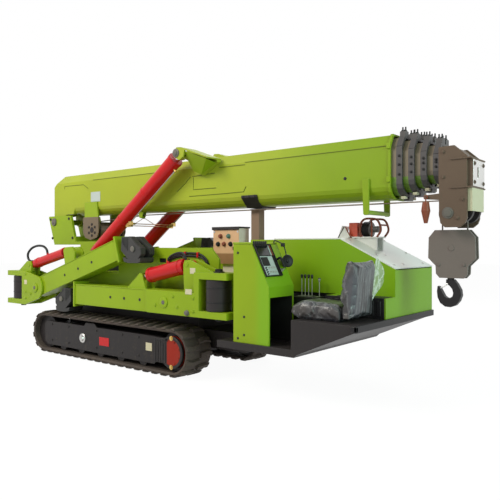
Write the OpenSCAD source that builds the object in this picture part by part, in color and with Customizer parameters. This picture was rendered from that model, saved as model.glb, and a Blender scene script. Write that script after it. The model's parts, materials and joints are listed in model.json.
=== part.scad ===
// Crawler crane with four folding outriggers, stowed for travel.
// Stations run forward from the rear end of the tracks; every node is then
// moved by x_shift so that the origin lies under the middle of the machine.

/* [Tracks] */
// Length of a track over its lugs
track_len = 3070; // [2800:10:3200]
// Height of a track over its lugs
track_h = 560; // [520:10:600]
// Width of a track
track_w = 400; // [340:10:440]
// Distance between the track centre lines
track_gauge = 1200; // [1180:10:1300]
// Thickness of the rubber belt
belt_t = 34; // [26:1:44]
// Height of a tread lug
lug_h = 28; // [16:1:36]
// Number of lugs in one row
lug_count = 44; // [30:1:50]

/* [Chassis] */
// Half width of the deck
deck_hw = 820; // [800:5:900]
// Height of the deck floor
deck_z = 500; // [460:5:520]
// Height of the seat platform
platform_z = 772; // [740:2:800]
// Station of the front end of the deck
deck_front = 5077; // [4950:1:5150]
// Station of the slewing axis
slew_x = 700; // [680:5:705]

/* [Outriggers] */
// Distance of an outrigger post from the middle
post_y = 680; // [670:5:720]
// Radius of an outrigger post
post_r = 135; // [100:5:140]
// Station of the front posts
front_post_x = 3400; // [3380:5:3420]
// Room from the end of a front arm to the rear post
leg_room = 1390; // [1370:5:1440]
// Half width of an outrigger arm
arm_hw = 98; // [80:1:100]
// Height of an outrigger arm
arm_h = 256; // [230:2:270]
// Length of a front arm from its pivot
front_arm_len = 1730; // [1600:10:1760]
// Length of a rear arm from its pivot
rear_arm_len = 1840; // [1700:10:1880]
// Stowed slope of the rear arms
rear_arm_deg = 17; // [14:1:20]

/* [Boom] */
// Height of the boom top
boom_top = 2478; // [2440:1:2500]
// Half width of the boom base section
boom_hw = 210; // [190:2:214]
// Length of the boom base beyond the front end of the deck
boom_over = 23; // [0:1:80]
// Step in height between the boom sections
section_step = 32; // [28:1:34]
// Step in half width between the boom sections
side_step = 16; // [15:1:18]
// Wall of the boom sections
boom_wall = 10; // [7:1:10]
// Station of the boom pivot
pivot_x = -293; // [-300:1:-285]
// Height of the boom pivot
pivot_z = 1800; // [1790:1:1810]

/* [Fit] */
// Clearance between moving pieces
gap = 6; // [5:0.5:8]
// Radial clearance of a pin in its bore
pin_gap = 1; // [0.5:0.1:2]
// Gap between faces that bear on each other
seat = 0.3; // [0.2:0.1:0.6]

/* [Hidden] */
boom_front = deck_front + boom_over;
reach = boom_front - 5100;
head_front = reach + 5822;
paint = [0.55, 0.68, 0.14];
dark = [0.16, 0.16, 0.17];
black = [0.07, 0.07, 0.08];
red = [0.75, 0.12, 0.13];
steel = [0.75, 0.76, 0.78];
taupe = [0.42, 0.37, 0.33];
white = [0.9, 0.9, 0.88];
track_cz = track_h / 2;
belt_r = track_h / 2 - lug_h;
belt_in = belt_r - belt_t;
run = track_len - track_h;
loop = 2 * run + 2 * PI * belt_r;
idler_x = track_h / 2;
sprocket_x = track_len - track_h / 2;
track_y = track_gauge / 2;
arm_out = arm_hw + 30;
rear_plate_z = 620;
front_plate_z = 700;
plate_t = 70;
post_len = 330;
fpx = 700;
fpz = 128;
rpx = 520;
rpz = 250;
fex = 400;
fez = 545;
rex = 270;
rez = 560;
flx = 460;
flz = 262;
rlx = 765;
rlz = 300;
rear_post_x = front_post_x - fpx - front_arm_len - leg_room;
plate_back = 215;
x_shift = -(rear_post_x - plate_back + head_front) / 2;
sweep = sqrt(pow(plate_back, 2) + pow(arm_out, 2));
front_piv_x = front_post_x - fpx;
rear_piv_x = rear_post_x + rpx;
front_piv_z = front_plate_z + fpz;
rear_piv_z = rear_plate_z + rpz;
luff_y = 372;
luff_low_x = 895;
luff_low_z = 1362;
luff_up_x = 2510;
luff_up_z = 2530;
luff_r = 90;
luff_len = sqrt(pow(luff_up_x - luff_low_x, 2) + pow(luff_up_z - luff_low_z, 2));
luff_deg = atan2(luff_up_z - luff_low_z, luff_up_x - luff_low_x);
side_low = 1995;
boom_low = 1885;
pitch = 108;
collar = 56;
head_x = boom_front + 4 * pitch + 6;
sheave_x = reach + 5616;
sheave_z = 1736;
hood_y = -66;
hood_back = front_post_x + sweep + gap;
hood_top = 1516;
hood_nose = 1228;
sheet_t = 20;
step_x = 4410;
block_x = reach + 5600;
hook_x = block_x - 20;
weight_x = reach + 5425;
weight_y = -190;
weight_z = 1880;
bed_z = 1462;
winch_z = 1668;
fdx = fpx + flx - fex;
fdz = fpz + flz - fez;
rdx = rpx + rlx * cos(rear_arm_deg) - rlz * sin(rear_arm_deg) - rex;
rdz = rpz + rlx * sin(rear_arm_deg) + rlz * cos(rear_arm_deg) - rez;
f_len = sqrt(fdx * fdx + fdz * fdz);
r_len = sqrt(rdx * rdx + rdz * rdz);
foot_x = 275;
foot_z = -80;

module at() { translate([x_shift, 0, 0]) children(); }
// A box from its two corners
module bx(x0, x1, y0, y1, z0, z1) {
  translate([x0, y0, z0]) cube([x1 - x0, y1 - y0, z1 - z0]);
}
// An outline in station and height, given a width across the machine
module side(y0, y1) {
  translate([0, y1, 0]) rotate([90, 0, 0]) linear_extrude(y1 - y0) children();
}
// A round bar across the machine
module ybar(x, z, r, y0, y1, n = 48) {
  translate([x, y0, z]) rotate([-90, 0, 0]) cylinder(r = r, h = y1 - y0, $fn = n);
}

// Point on the track loop at a run length s and a height h over the belt
function wrap(s) = s - loop * floor(s / loop);
function loop_pt(s0, h) = let (s = wrap(s0), r = belt_r + h, q = PI * belt_r)
  s < run ? [s - run / 2, -r] :
  s < run + q ? let (a = -90 + (s - run) / belt_r * 180 / PI) [run / 2 + r * cos(a), r * sin(a)] :
  s < 2 * run + q ? [run / 2 - (s - run - q), r] :
  let (a = 90 + (s - 2 * run - q) / belt_r * 180 / PI) [-run / 2 + r * cos(a), r * sin(a)];

module track_outline(off) {
  p = loop / lug_count;
  difference() {
    polygon([for (i = [0 : lug_count - 1]) each [loop_pt((i + off) * p, 0),
      loop_pt((i + off + 0.07) * p, lug_h), loop_pt((i + off + 0.40) * p, lug_h),
      loop_pt((i + off + 0.47) * p, 0), loop_pt((i + off + 0.74) * p, 0)]]);
    polygon([for (i = [0 : 24]) [run / 2 + belt_in * cos(-90 + i * 7.5), belt_in * sin(-90 + i * 7.5)],
      for (i = [0 : 24]) [-run / 2 + belt_in * cos(90 + i * 7.5), belt_in * sin(90 + i * 7.5)]]);
  }
}
module track(s) {
  color(black) at() translate([track_len / 2, s * track_y, track_cz]) {
    side(-track_w / 2, 0) track_outline(0);
    side(0, track_w / 2) track_outline(0.5);
  }
}
module track_right() { track(-1); }
module track_left() { track(1); }

module track_frame(s) {
  color(dark) at() translate([0, s * track_y, 0]) {
    bx(idler_x + 250, sprocket_x - 270, -128, 128, 215, 425);
    for (k = [-1, 1]) side(k * 136 - 9, k * 136 + 9)
      polygon([[250, 150], [320, 112], [sprocket_x - 320, 112], [sprocket_x - 270, 160],
        [sprocket_x - 270, 425], [1400, 425], [1360, 470], [1180, 470], [1140, 425], [300, 425], [250, 380]]);
    bx(1185, 1355, -128, 128, 420, 440);
  }
}
module track_frames() { track_frame(-1); track_frame(1); }

module wheel_set(s) {
  r = belt_in * cos(3.75) - 0.3;
  color(dark) at() translate([0, s * track_y, 0]) {
    ybar(idler_x, track_cz, r, -110, 110, 64);
    ybar(idler_x, track_cz, 45, -127, 127, 32);
    ybar(sprocket_x, track_cz, r, -110, 110, 64);
    for (x = [idler_x + 380 : 400 : sprocket_x - 380])
      ybar(x, lug_h + belt_t + 68.3, 68, -127, 127, 32);
  }
}
module track_wheels() { wheel_set(-1); wheel_set(1); }

module drive_covers() {
  color([0.78, 0.2, 0.1]) at() for (s = [-1, 1]) translate([0, s * track_y, 0]) scale([1, s, 1]) {
    ybar(sprocket_x, track_cz, 175, 110, 165, 48);
    ybar(sprocket_x, track_cz, 155, 165, 185, 48);
  }
}

module carbody() {
  color(dark) at() {
    bx(250, 2800, -360, 360, 220, 700);
    for (x = [700, 1950]) bx(x, x + 200, -track_y + 145, track_y - 145, 240, 400);
  }
}

module posts_cut() {
  for (s = [-1, 1], x = [front_post_x, rear_post_x])
    translate([x, s * post_y, 0]) cylinder(r = post_r, h = 3000, $fn = 64);
}
module cross_beam(x0, x1, z) {
  difference() {
    bx(x0, x1, -post_y + 40, post_y - 40, z + plate_t + 12, z + plate_t + post_len - 12);
    posts_cut();
  }
}
module lashing_eye(s) {
  difference() {
    bx(rear_post_x - 195, rear_post_x - 109, s * 300 - 45, s * 300 + 45, 835, 865);
    translate([rear_post_x - 150, s * 300, 800]) cylinder(r = 22, h = 100, $fn = 32);
  }
}
module chassis_frame() {
  color(paint) at() {
    cross_beam(rear_post_x - 110, rear_post_x + 110, rear_plate_z);
    for (s = [-1, 1]) lashing_eye(s);
    bx(rear_post_x + 110 + seat, 1300, -480, 480, 702, 1008);
    bx(200, 1300, -480, 480, 700, 1110);
    bx(1250, 3220, -480, 480, 700, 1100);
    for (s = [-1, 1]) side(s * 468 - 12, s * 468 + 12) difference() {
      polygon([[1500, 1100 + seat], [3220, 1100 + seat], [3220, 1300], [3100, 1425], [1700, 1425], [1500, 1250]]);
      for (x = [1850, 2250, 2650]) translate([x, 1250]) square([130, 50]);
    }
    bx(3220 + seat, front_post_x - 101, -420, 420, front_plate_z + plate_t + 12, front_plate_z + plate_t + post_len - 12);
    cross_beam(front_post_x - 101, front_post_x + 110, front_plate_z);
  }
}

module swing_posts() {
  color(black) at() for (s = [-1, 1], p = [[front_post_x, front_plate_z], [rear_post_x, rear_plate_z]])
    translate([p[0], s * post_y, p[1]]) {
      translate([0, 0, plate_t + gap]) cylinder(r = post_r, h = post_len - 2 * gap, $fn = 64);
      translate([0, 0, -8]) cylinder(r = 60, h = 2 * plate_t + post_len + 16, $fn = 48);
    }
}

module slew_ring() {
  color(dark) at() translate([slew_x, 0, 1110]) difference() {
    cylinder(r = 450, h = 88, $fn = 96);
    translate([0, 0, 20]) cylinder(r = 206, h = 100, $fn = 64);
  }
}

module deck() {
  color(dark) at() {
    side(-deck_hw, deck_hw) polygon([[3500, 430], [step_x, 430], [step_x, deck_z], [3500, deck_z]]);
    side(-deck_hw, deck_hw) polygon([[step_x + seat, 430], [4440, 430], [4467, 457], [deck_front, 719],
      [deck_front, platform_z], [step_x + seat, platform_z]]);
    bx(2800 + seat, 3500 - seat, -360, 360, 300, deck_z);
  }
}

module console() {
  color(paint) at() difference() {
    side(-800, -390) polygon([[3702, deck_z], [3702, 1463], [3933, 1463], [4142, 1057], [4142, deck_z]]);
    side(-780, -410) polygon([[3722, deck_z - 10], [3722, 1443], [3921, 1443], [4122, 1052], [4122, deck_z - 10]]);
    bx(4100, 4200, -780, -410, deck_z - 10, 955);
  }
}
module console_panel() {
  a = atan2(-406, 209);
  color(black) at() translate([3933, -595, 1463]) rotate([0, -a, 0]) translate([0, 0, seat]) {
    bx(25, 420, -170, 170, 0, 14);
    translate([130, -80, 14]) cylinder(r = 55, h = 10, $fn = 32);
    translate([130, 80, 14]) cylinder(r = 55, h = 10, $fn = 32);
    bx(240, 390, -150, 150, 14, 22);
  }
}

module hood_side(x0) {
  polygon([[x0, 966 + seat], [deck_front, 966 + seat], [deck_front, hood_nose], [4482, hood_top], [x0, hood_top]]);
}
module hood() {
  color(paint) at() {
    side(hood_y, hood_y + sheet_t) difference() {
      hood_side(3326);
      translate([3300, 900]) square([front_post_x + 116 - 3300, front_plate_z + plate_t + post_len - 12 + seat - 900]);
    }
    side(deck_hw - sheet_t, deck_hw) hood_side(hood_back);
    bx(deck_front - sheet_t, deck_front, hood_y + sheet_t + seat, deck_hw - sheet_t - seat, 966 + seat, hood_nose - 8);
    bx(hood_back, hood_back + sheet_t, hood_y + sheet_t + seat, deck_hw - sheet_t - seat, 966 + seat, hood_top);
    difference() {
      bx(4440, deck_front, -264, deck_hw, platform_z + seat, 966);
      bx(4460, deck_front - sheet_t, -244, deck_hw - sheet_t, platform_z - 10, 950);
      bx(4460, deck_front - sheet_t, hood_y + sheet_t, deck_hw - sheet_t, platform_z - 10, 980);
    }
  }
}
module hood_cover() {
  color(white) at() translate([0, 0, seat]) {
    side(hood_y, deck_hw)
      polygon([[hood_back, hood_top], [4482, hood_top], [deck_front, hood_nose], [deck_front + 6, hood_nose + 10], [4485, hood_top + 12], [hood_back, hood_top + 12]]);
    side(230, 370) polygon([[4275, hood_top + 4], [4335, 1660], [4347, 1655], [4305, hood_top + 4]]);
  }
}
module engine_block() {
  color(dark) at() bx(4500, 5000, hood_y + 126, deck_hw - 120, platform_z + seat, 1150);
}
module oil_tank() {
  color(black) at() bx(hood_back + 5, step_x - 10, hood_y + sheet_t + 5, deck_hw - sheet_t - 5, deck_z + seat, 962);
}
module levers() {
  color(black) at() bx(4030, 4330, -272, hood_y - gap, deck_z + seat, 932);
  color(black) at() for (i = [0 : 4]) translate([4070 + i * 50, -140 - (i % 2) * 20, 930]) {
    cylinder(r = 7, h = 190, $fn = 16);
    translate([0, 0, 185]) cylinder(r1 = 18, r2 = 24, h = 40, $fn = 24);
  }
}
module seat_cushion() {
  color(black) at() side(-740, -282)
    polygon([[4300, 830], [4330, 900], [4420, 935], [4800, 915], [4880, 870], [4880, platform_z], [4425, platform_z], [4330, 800]]);
}
module seat_back() {
  color(black) at() side(-740, -282)
    polygon([[4885, platform_z], [4980, platform_z], [5060, 1290], [5030, 1335], [4960, 1330], [4890, 1150], [4850, 960], [4885, 900]]);
}
module control_box() {
  color([0.75, 0.68, 0.6]) at() {
    bx(2795, 3189, -110, 70, 1240, 1655);
    bx(2900, 3080, -60, 40, 1100, 1240);
  }
}
module boom_rest() {
  color(taupe) at() {
    bx(3315, 3430, -42, 52, front_plate_z + 388, 1850);
    bx(3300, 3445, -44, 60, 1850, boom_low - 15 - gap);
  }
}
// Height of the cover's upper face on its slope
function cover_z(x) = hood_top + 12 - (x - 4485) * (hood_top + 2 - hood_nose) / (deck_front + 6 - 4485) + 2 * seat;
module guard_reel() {
  color(red) at() {
    bx(4413, 4510, 240, 360, 1541, 1690);
    bx(4400, 4760, 210, 390, hood_top + 12 + 2 * seat, hood_top + 27);
    for (y = [225, 355]) side(y, y + 20) polygon([[4500, cover_z(4500)], [4740, cover_z(4740)], [4740, hood_top + 19], [4500, hood_top + 19]]);
    translate([4505, 300, 1620]) rotate([0, 90, 0]) cylinder(r = 34, h = 225, $fn = 32);
    translate([4560, 300, 1620]) rotate([0, 90, 0]) cylinder(r = 70, h = 90, $fn = 48);
  }
}

module turntable() {
  color(paint) at() difference() {
    union() {
      difference() {
        translate([slew_x, 0, 1198 + seat]) cylinder(r = 460, h = 46, $fn = 96);
        for (s = [-1, 1]) ybar(luff_low_x, luff_low_z, luff_r + gap + 8, min(s * 278, s * 500), max(s * 278, s * 500), 64);
      }
      translate([slew_x, 0, 1140]) cylinder(r = 200, h = 70, $fn = 64);
      bx(360, luff_low_x + 80, -260, 260, 1240, bed_z + 10);
      bx(-290, 1090, -260, 260, bed_z, bed_z + 45);
      for (s = [-1, 1]) side(s * 242 - 18, s * 242 + 18)
        polygon([[-443, 1870], [-428, 1885], [118, 1885], [254, bed_z], [-293, bed_z]]);
      bx(-100, 240, -250, 250, bed_z + 40, bed_z + 120);
      ybar(pivot_x, pivot_z, 40, -275, 275);
      for (s = [-1, 1]) {
        side(s * 264 - 10, s * 264 + 10) translate([luff_low_x, 0])
          polygon([[-100, 1236], [70, 1236], [95, 1300], [70, bed_z + 20], [-100, bed_z + 20]]);
        ybar(luff_low_x, luff_low_z, 35, min(s * 262, s * (luff_y + 52)), max(s * 262, s * (luff_y + 52)));
      }
    }
  }
}

// Outline of boom section k seen along the boom, drawn in by d
module boom_outline(k = 0, d = 0) {
  h = boom_hw - k * side_step - d;
  top = boom_top - k * section_step - d;
  s = side_low + k * section_step + d;
  low = boom_low + k * section_step + d;
  polygon([[-h, s], [-h, top - 105], [-h + 62, top], [h - 62, top], [h, top - 105], [h, s], [h - 14, s - 40],
    [h - 40, s - 72], [h - 76, s - 97], [h - 115, low], [-h + 115, low], [-h + 76, s - 97], [-h + 40, s - 72], [-h + 14, s - 40]]);
}
module along(x0, x1) {
  translate([x0, 0, 0]) rotate([90, 0, 90]) linear_extrude(x1 - x0) children();
}
module tube(x0, x1, k) {
  difference() {
    along(x0, x1) boom_outline(k);
    along(x0 - 1, x1 + 1) boom_outline(k, boom_wall);
  }
}
// Wear pad under section k + 1, carried by section k at its front end f
module wear_pad(f, k) {
  low = boom_low + k * section_step;
  bx(f - 50, f - 4, -28, 28, low + 4, low + section_step - seat);
}
module boom_base() {
  color(paint) at() difference() {
    union() {
      tube(-340, boom_front, 0);
      along(-370, -340) boom_outline(0);
      difference() {
        along(boom_front - 26, boom_front) boom_outline(0, -9);
        along(boom_front - 30, boom_front + 4) boom_outline(0, boom_wall);
      }
      wear_pad(boom_front, 0);
      for (s = [-1, 1]) {
        side(s * 184 - 26, s * 184 + 26)
          polygon([[-370, 1905], [-345, 1760], [-300, 1740], [-250, 1750], [-60, 1905], [120, 1905], [160, 2005], [-370, 2005]]);
        side(s * 239 - 33, s * 239 + 33)
          polygon([[2472, 2490], [2478, 2560], [2520, 2598], [2590, 2592], [3000, 2446], [3000, 2402], [2760, 2272], [2650, 2298], [2620, 2420]]);
        side(s * (luff_y + 62) - 10, s * (luff_y + 62) + 10)
          polygon([[2472, 2490], [2478, 2560], [2520, 2598], [2590, 2592], [2650, 2571], [2630, 2480], [2560, 2444]]);
        side(min(s * 206, s * (luff_y + 72)), max(s * 206, s * (luff_y + 72)))
          polygon([[2598, 2590], [3000, 2446], [3000, 2428], [2598, 2572]]);
        side(s * 219 - 9, s * 219 + 9)
          translate([reach, 0])
          polygon([[4815, 2080], [4885, 2080], [4885, 1752], [4873, 1740], [4840, 1740], [4828, 1752]]);
      }
      ybar(reach + 4865, 1765, 22, -215, 215, 32);
    }
    ybar(pivot_x, pivot_z, 40 + pin_gap, -300, 300);
    side(-400, 400) polygon([[-400, 2300], [-400, 2500], [-160, 2500], [-180, 2478], [-370, 2320]]);
    bx(-600, 200, -157, 157, 1700, 1890);
    bx(-338, 200, -150, 150, 1880, 2000);
  }
}
module boom_saddle() {
  color(dark) at() difference() {
    along(3322, 3535) polygon([[-228, 2004], [-228, 1978], [-120, boom_low - 15], [120, boom_low - 15], [228, 1978], [228, 2004]]);
    along(3300, 3560) boom_outline(0);
  }
}
module winch_frame() {
  color(taupe) at() for (s = [-1, 1]) side(s * 221 - 11, s * 221 + 11) difference() {
    polygon([[420, 2060], [700, 2060], [750, 1740], [715, 1580], [570, 1524], [440, 1600], [420, 1730]]);
    translate([600, winch_z]) circle(r = 40 + pin_gap, $fn = 48);
  }
}
module winch_drum() {
  color(dark) at() {
    ybar(600, winch_z, 100, -190, 190, 64);
    for (s = [-1, 1]) ybar(600, winch_z, 138, s * 190 - 8, s * 190 + 8, 64);
    ybar(600, winch_z, 40, -240, 240, 48);
  }
}
module boom_section(k) {
  n = k - 1;
  f = boom_front + n * pitch;
  h = boom_hw - n * side_step;
  tube(180 + 20 * k, f, n);
  difference() {
    along(f - collar, f) boom_outline(n, -12);
    along(f - collar - 1, f + 1) boom_outline(n, boom_wall);
  }
  for (s = [-1, 1]) bx(f - collar, f, s * (h - 100) - 34, s * (h - 100) + 34, boom_top - n * section_step + 5, boom_top - n * section_step + 60);
  bx(f - collar, f, -42, 42, boom_low + n * section_step - 48, boom_low + n * section_step + 5);
  if (k < 5) wear_pad(f, n);
}
module boom_2() { color(taupe) at() boom_section(2); }
module boom_3() { color(taupe) at() boom_section(3); }
module boom_4() { color(taupe) at() boom_section(4); }
module boom_5() { color(taupe) at() boom_section(5); }
module boom_head() {
  color(taupe) at() {
    for (s = [-1, 1]) side(s * 163 - 12, s * 163 + 12) difference() {
      polygon([[head_x, 2315], [reach + 5672, 2319], [reach + 5781, 2222], [reach + 5781, 1690], [reach + 5765, 1645], [reach + 5722, 1611], [reach + 5590, 1611], [reach + 5550, 1650], [head_x, 1730]]);
      translate([sheave_x, sheave_z]) circle(r = 30, $fn = 48);
    }
    side(-152, 152) polygon([[head_x, 2010], [head_x, 2300], [reach + 5668, 2304], [reach + 5768, 2215], [reach + 5768, 2010]]);
    difference() {
      bx(reach + 5766, head_front, -150, 150, 1955, 2195);
      for (y = [-115, 115], z = [1995, 2155]) translate([head_front - 40, y, z]) rotate([0, 90, 0]) cylinder(r = 11, h = 60, $fn = 32);
    }
    for (z = [1947, 2195]) bx(reach + 5640, head_front, -185, 185, z, z + 12);
    bx(head_x - 6 + seat, head_x + 20, -170, 170, 2010, 2310);
    side(-176, -162) polygon([[weight_x - 25, weight_z - 15], [weight_x - 15, weight_z + 20], [head_x + 20, weight_z + 30], [head_x + 20, weight_z - 30]]);
    ybar(weight_x, weight_z, 10, weight_y - 12, -170, 32);
  }
}
module head_sheaves() {
  color(dark) at() {
    ybar(sheave_x, sheave_z, 30, -182, 182, 48);
    for (y = [-90, 0, 90]) ybar(sheave_x, sheave_z, 105, y - 20, y + 20, 64);
    for (y = [-90, 90]) ybar(reach + 5700, 1760, 112, y - 20, y + 20, 64);
  }
}
module hook_block() {
  color(taupe) at() {
    for (s = [-1, 1]) side(s * 36 - 10, s * 36 + 10) translate([block_x, 0])
      polygon([[-150, 1592], [150, 1592], [207, 1525], [212, 1340], [144, 1272], [140, 1200], [108, 1163],
        [-108, 1163], [-140, 1200], [-144, 1272], [-212, 1340], [-207, 1525]]);
    bx(block_x - 90, block_x + 90, -30, 30, 1163, 1225);
    ybar(block_x, 1430, 130, -18, 18, 64);
    ybar(block_x, 1430, 26, -50, 50, 32);
    for (s = [-1, 1]) translate([sheave_x + s * (105 + 7 + seat), 0, 1440]) cylinder(r = 7, h = 300, $fn = 24);
  }
}
module hook() {
  color(black) at() translate([hook_x, 0, 0]) {
    translate([0, 0, 1100]) cylinder(r = 30, h = 63 - seat, $fn = 48);
    side(-27, 27) difference() {
      polygon([[-34, 1150], [34, 1150], [66, 1112], [94, 1060], [100, 1010], [82, 960], [48, 920], [4, 903], [-44, 906], [-88, 936],
        [-112, 984], [-118, 1040], [-112, 1088], [-96, 1080], [-78, 1048], [-62, 1020], [-50, 998], [-28, 984], [0, 984], [22, 1000], [30, 1030], [20, 1066], [-2, 1092], [-34, 1116]]);
    }
  }
}
module limit_weight() {
  color([0.45, 0.16, 0.12]) at() translate([weight_x, weight_y, 0]) {
    difference() {
      union() {
        translate([0, 0, 1650]) cylinder(r1 = 16, r2 = 40, h = 110, $fn = 32);
        translate([0, 0, 1759]) cylinder(r1 = 40, r2 = 28, h = 80, $fn = 32);
        translate([0, 0, 1830]) cylinder(r = 6, h = weight_z - 1842, $fn = 16);
        ybar(0, weight_z, 18, -8, 8, 32);
      }
      ybar(0, weight_z, 10 + seat, -20, 20, 32);
    }
  }
}

// Luffing cylinders, drawn along X from the lower pin and then turned up
module luff_place(s) {
  translate([luff_low_x, s * luff_y, luff_low_z]) rotate([0, -luff_deg, 0]) children();
}
module xbar(x0, x1, r, n = 48) { translate([x0, 0, 0]) rotate([0, 90, 0]) cylinder(r = r, h = x1 - x0, $fn = n); }
module luff_barrels() {
  color(red) at() for (s = [-1, 1]) luff_place(s) difference() {
    union() {
      ybar(0, 0, 80, -44, 44);
      xbar(20, luff_len - 92, luff_r, 64);
    }
    ybar(0, 0, 35 + pin_gap, -100, 100);
    xbar(120, luff_len, 45 + pin_gap, 48);
  }
}
module luff_rods() {
  color(steel) at() for (s = [-1, 1]) luff_place(s) {
    xbar(140, luff_len - 40, 45, 48);
    ybar(luff_len, 0, 72, -43, 43);
  }
}

// Outriggers, drawn from the post axis with the arm along +X
module out_place(front, s) {
  translate([front ? front_post_x : rear_post_x, s * post_y, front ? front_plate_z : rear_plate_z])
    rotate([0, 0, front ? 180 : 0]) children();
}
module bracket(front, s) {
  px = front ? fpx : rpx;
  pz = front ? fpz : rpz;
  ex = front ? fex : rex;
  ez = front ? fez : rez;
  color(paint) at() out_place(front, s) difference() {
    union() {
      for (z = [0, plate_t + post_len]) bx(-plate_back, 200, -arm_out, arm_out, z, z + plate_t);
      bx(170, 240, -arm_out, arm_out, 0, 2 * plate_t + post_len);
      bx(235, px - arm_h / 2 - 18, -arm_hw - gap, arm_hw + gap, front ? 0 : 60, front ? pz + arm_h / 2 : pz + 90);
      for (k = [-1, 1]) {
        side(k > 0 ? arm_hw + gap : -arm_out, k > 0 ? arm_out : -arm_hw - gap)
          if (front) polygon([[230, 0], [980, pz - arm_h / 2], [1000, pz - arm_h / 2 + 20], [1000, pz + arm_h / 2], [230, pz + arm_h / 2]]);
          else hull() { translate([230, 0]) square([20, 470]); translate([px, pz]) circle(r = 165, $fn = 64); }
        side(k * 60 - 12, k * 60 + 12)
          polygon(front ? [[-20, 460], [360, 600], [435, 592], [455, 540], [440, pz + 130], [240, pz + 130], [240, 460]]
            : [[-20, 460], [215, 610], [300, 610], [328, 560], [310, 420], [230, 420], [200, 460]]);
      }
      ybar(ex, ez, 24, -80, 80, 32);
      ybar(px, pz, 45, -arm_out - 8, arm_out + 8, 48);
    }
    translate([0, 0, -10]) cylinder(r = 60 + pin_gap, h = 600, $fn = 48);
  }
}
module bracket_rf() { bracket(true, -1); }
module bracket_lf() { bracket(true, 1); }
module bracket_rr() { bracket(false, -1); }
module bracket_lr() { bracket(false, 1); }

module arm_place(front, s) {
  out_place(front, s) translate([front ? fpx : rpx, 0, front ? fpz : rpz]) rotate([0, front ? 0 : -rear_arm_deg, 0]) children();
}
module arm(front, s) {
  len = front ? front_arm_len : rear_arm_len;
  lx = front ? flx : rlx;
  lz = front ? flz : rlz;
  color(paint) at() arm_place(front, s) difference() {
    union() {
      side(-arm_hw, arm_hw) union() {
        circle(r = arm_h / 2, $fn = 64);
        translate([0, -arm_h / 2]) square([len - 10, arm_h]);
      }
      bx(len - 28, len, -112, 112, -160, 160);
      side(-26, 26) polygon([[len - 5, 40], [len + foot_x - 20, foot_z + 52], [len + foot_x + 40, foot_z + 34],
        [len + foot_x + 46, foot_z - 30], [len + foot_x - 20, foot_z - 46], [len - 5, -85]]);
      ybar(len + foot_x, foot_z, 24, -112, 112, 40);
      for (k = [-1, 1]) side(k * 60 - 12, k * 60 + 12)
        polygon(front ? [[lx - 95, arm_h / 2 - 5], [lx - 48, lz - 20], [lx - 30, lz + 38], [lx + 20, lz + 42], [lx + 60, lz], [lx + 240, arm_h / 2 - 5]]
          : [[lx - 70, arm_h / 2 - 5], [lx - 48, lz + 30], [lx + 10, lz + 46], [lx + 150, lz + 12], [lx + 190, lz - 70], [lx + 150, arm_h / 2 - 5]]);
    }
    ybar(0, 0, 45 + pin_gap, -200, 200);
  }
}
module arm_rf() { arm(true, -1); }
module arm_lf() { arm(true, 1); }
module arm_rr() { arm(false, -1); }
module arm_lr() { arm(false, 1); }

// A foot hangs level from the pin at the end of its arm
module foot(front, s) {
  len = front ? front_arm_len : rear_arm_len;
  color(black) at() arm_place(front, s) translate([len + foot_x, 0, foot_z]) rotate([0, front ? 0 : rear_arm_deg, 0]) {
    for (k = [-1, 1]) side(k > 0 ? 26 + gap : -104, k > 0 ? 104 : -26 - gap) difference() {
      polygon([[-215, -20], [-205, 140], [-50, 146], [48, 66], [138, 12], [138, -62], [84, -120], [-90, -120]]);
      circle(r = 24 + pin_gap, $fn = 40);
    }
    side(-104, 104) polygon([[-180, -100], [-90, -120], [84, -120], [132, -100], [122, -150], [84, -165], [-90, -165], [-165, -150]]);
  }
}
module foot_rf() { foot(true, -1); }
module foot_lf() { foot(true, 1); }
module foot_rr() { foot(false, -1); }
module foot_lr() { foot(false, 1); }

// Outrigger cylinders from the ear pin to the lug pin
module cyl_place(front, s) {
  out_place(front, s) translate([front ? fex : rex, 0, front ? fez : rez])
    rotate([0, -(front ? atan2(fdz, fdx) : atan2(rdz, rdx)), 0]) children();
}
module leg_barrel(front, s) {
  len = front ? f_len : r_len;
  color(red) at() cyl_place(front, s) difference() {
    union() {
      ybar(0, 0, 46, -42, 42, 40);
      bx(10, 100, -42, 42, -42, 42);
      xbar(85, len - 105, front ? 84 : 66, 48);
    }
    ybar(0, 0, 24 + pin_gap, -100, 100, 32);
    xbar(120, len, 32 + pin_gap, 32);
  }
}
module leg_barrel_rf() { leg_barrel(true, -1); }
module leg_barrel_lf() { leg_barrel(true, 1); }
module leg_barrel_rr() { leg_barrel(false, -1); }
module leg_barrel_lr() { leg_barrel(false, 1); }
module leg_rod(front, s) {
  len = front ? f_len : r_len;
  color(steel) at() cyl_place(front, s) {
    xbar(140, len - 20, 32, 32);
    ybar(len, 0, 40, -42, 42, 40);
  }
}
module leg_rod_rf() { leg_rod(true, -1); }
module leg_rod_lf() { leg_rod(true, 1); }
module leg_rod_rr() { leg_rod(false, -1); }
module leg_rod_lr() { leg_rod(false, 1); }

track_right();
track_left();
track_frames();
track_wheels();
drive_covers();
carbody();
chassis_frame();
swing_posts();
slew_ring();
deck();
console();
console_panel();
hood();
hood_cover();
engine_block();
oil_tank();
levers();
seat_cushion();
seat_back();
control_box();
boom_rest();
guard_reel();
turntable();
boom_base();
boom_saddle();
winch_frame();
winch_drum();
luff_barrels();
luff_rods();
boom_2();
boom_3();
boom_4();
boom_5();
boom_head();
head_sheaves();
hook_block();
hook();
limit_weight();
bracket_rf();
bracket_lf();
bracket_rr();
bracket_lr();
arm_rf();
arm_lf();
arm_rr();
arm_lr();
foot_rf();
foot_lf();
foot_rr();
foot_lr();
leg_barrel_rf();
leg_barrel_lf();
leg_barrel_rr();
leg_barrel_lr();
leg_rod_rf();
leg_rod_lf();
leg_rod_rr();
leg_rod_lr();
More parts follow.
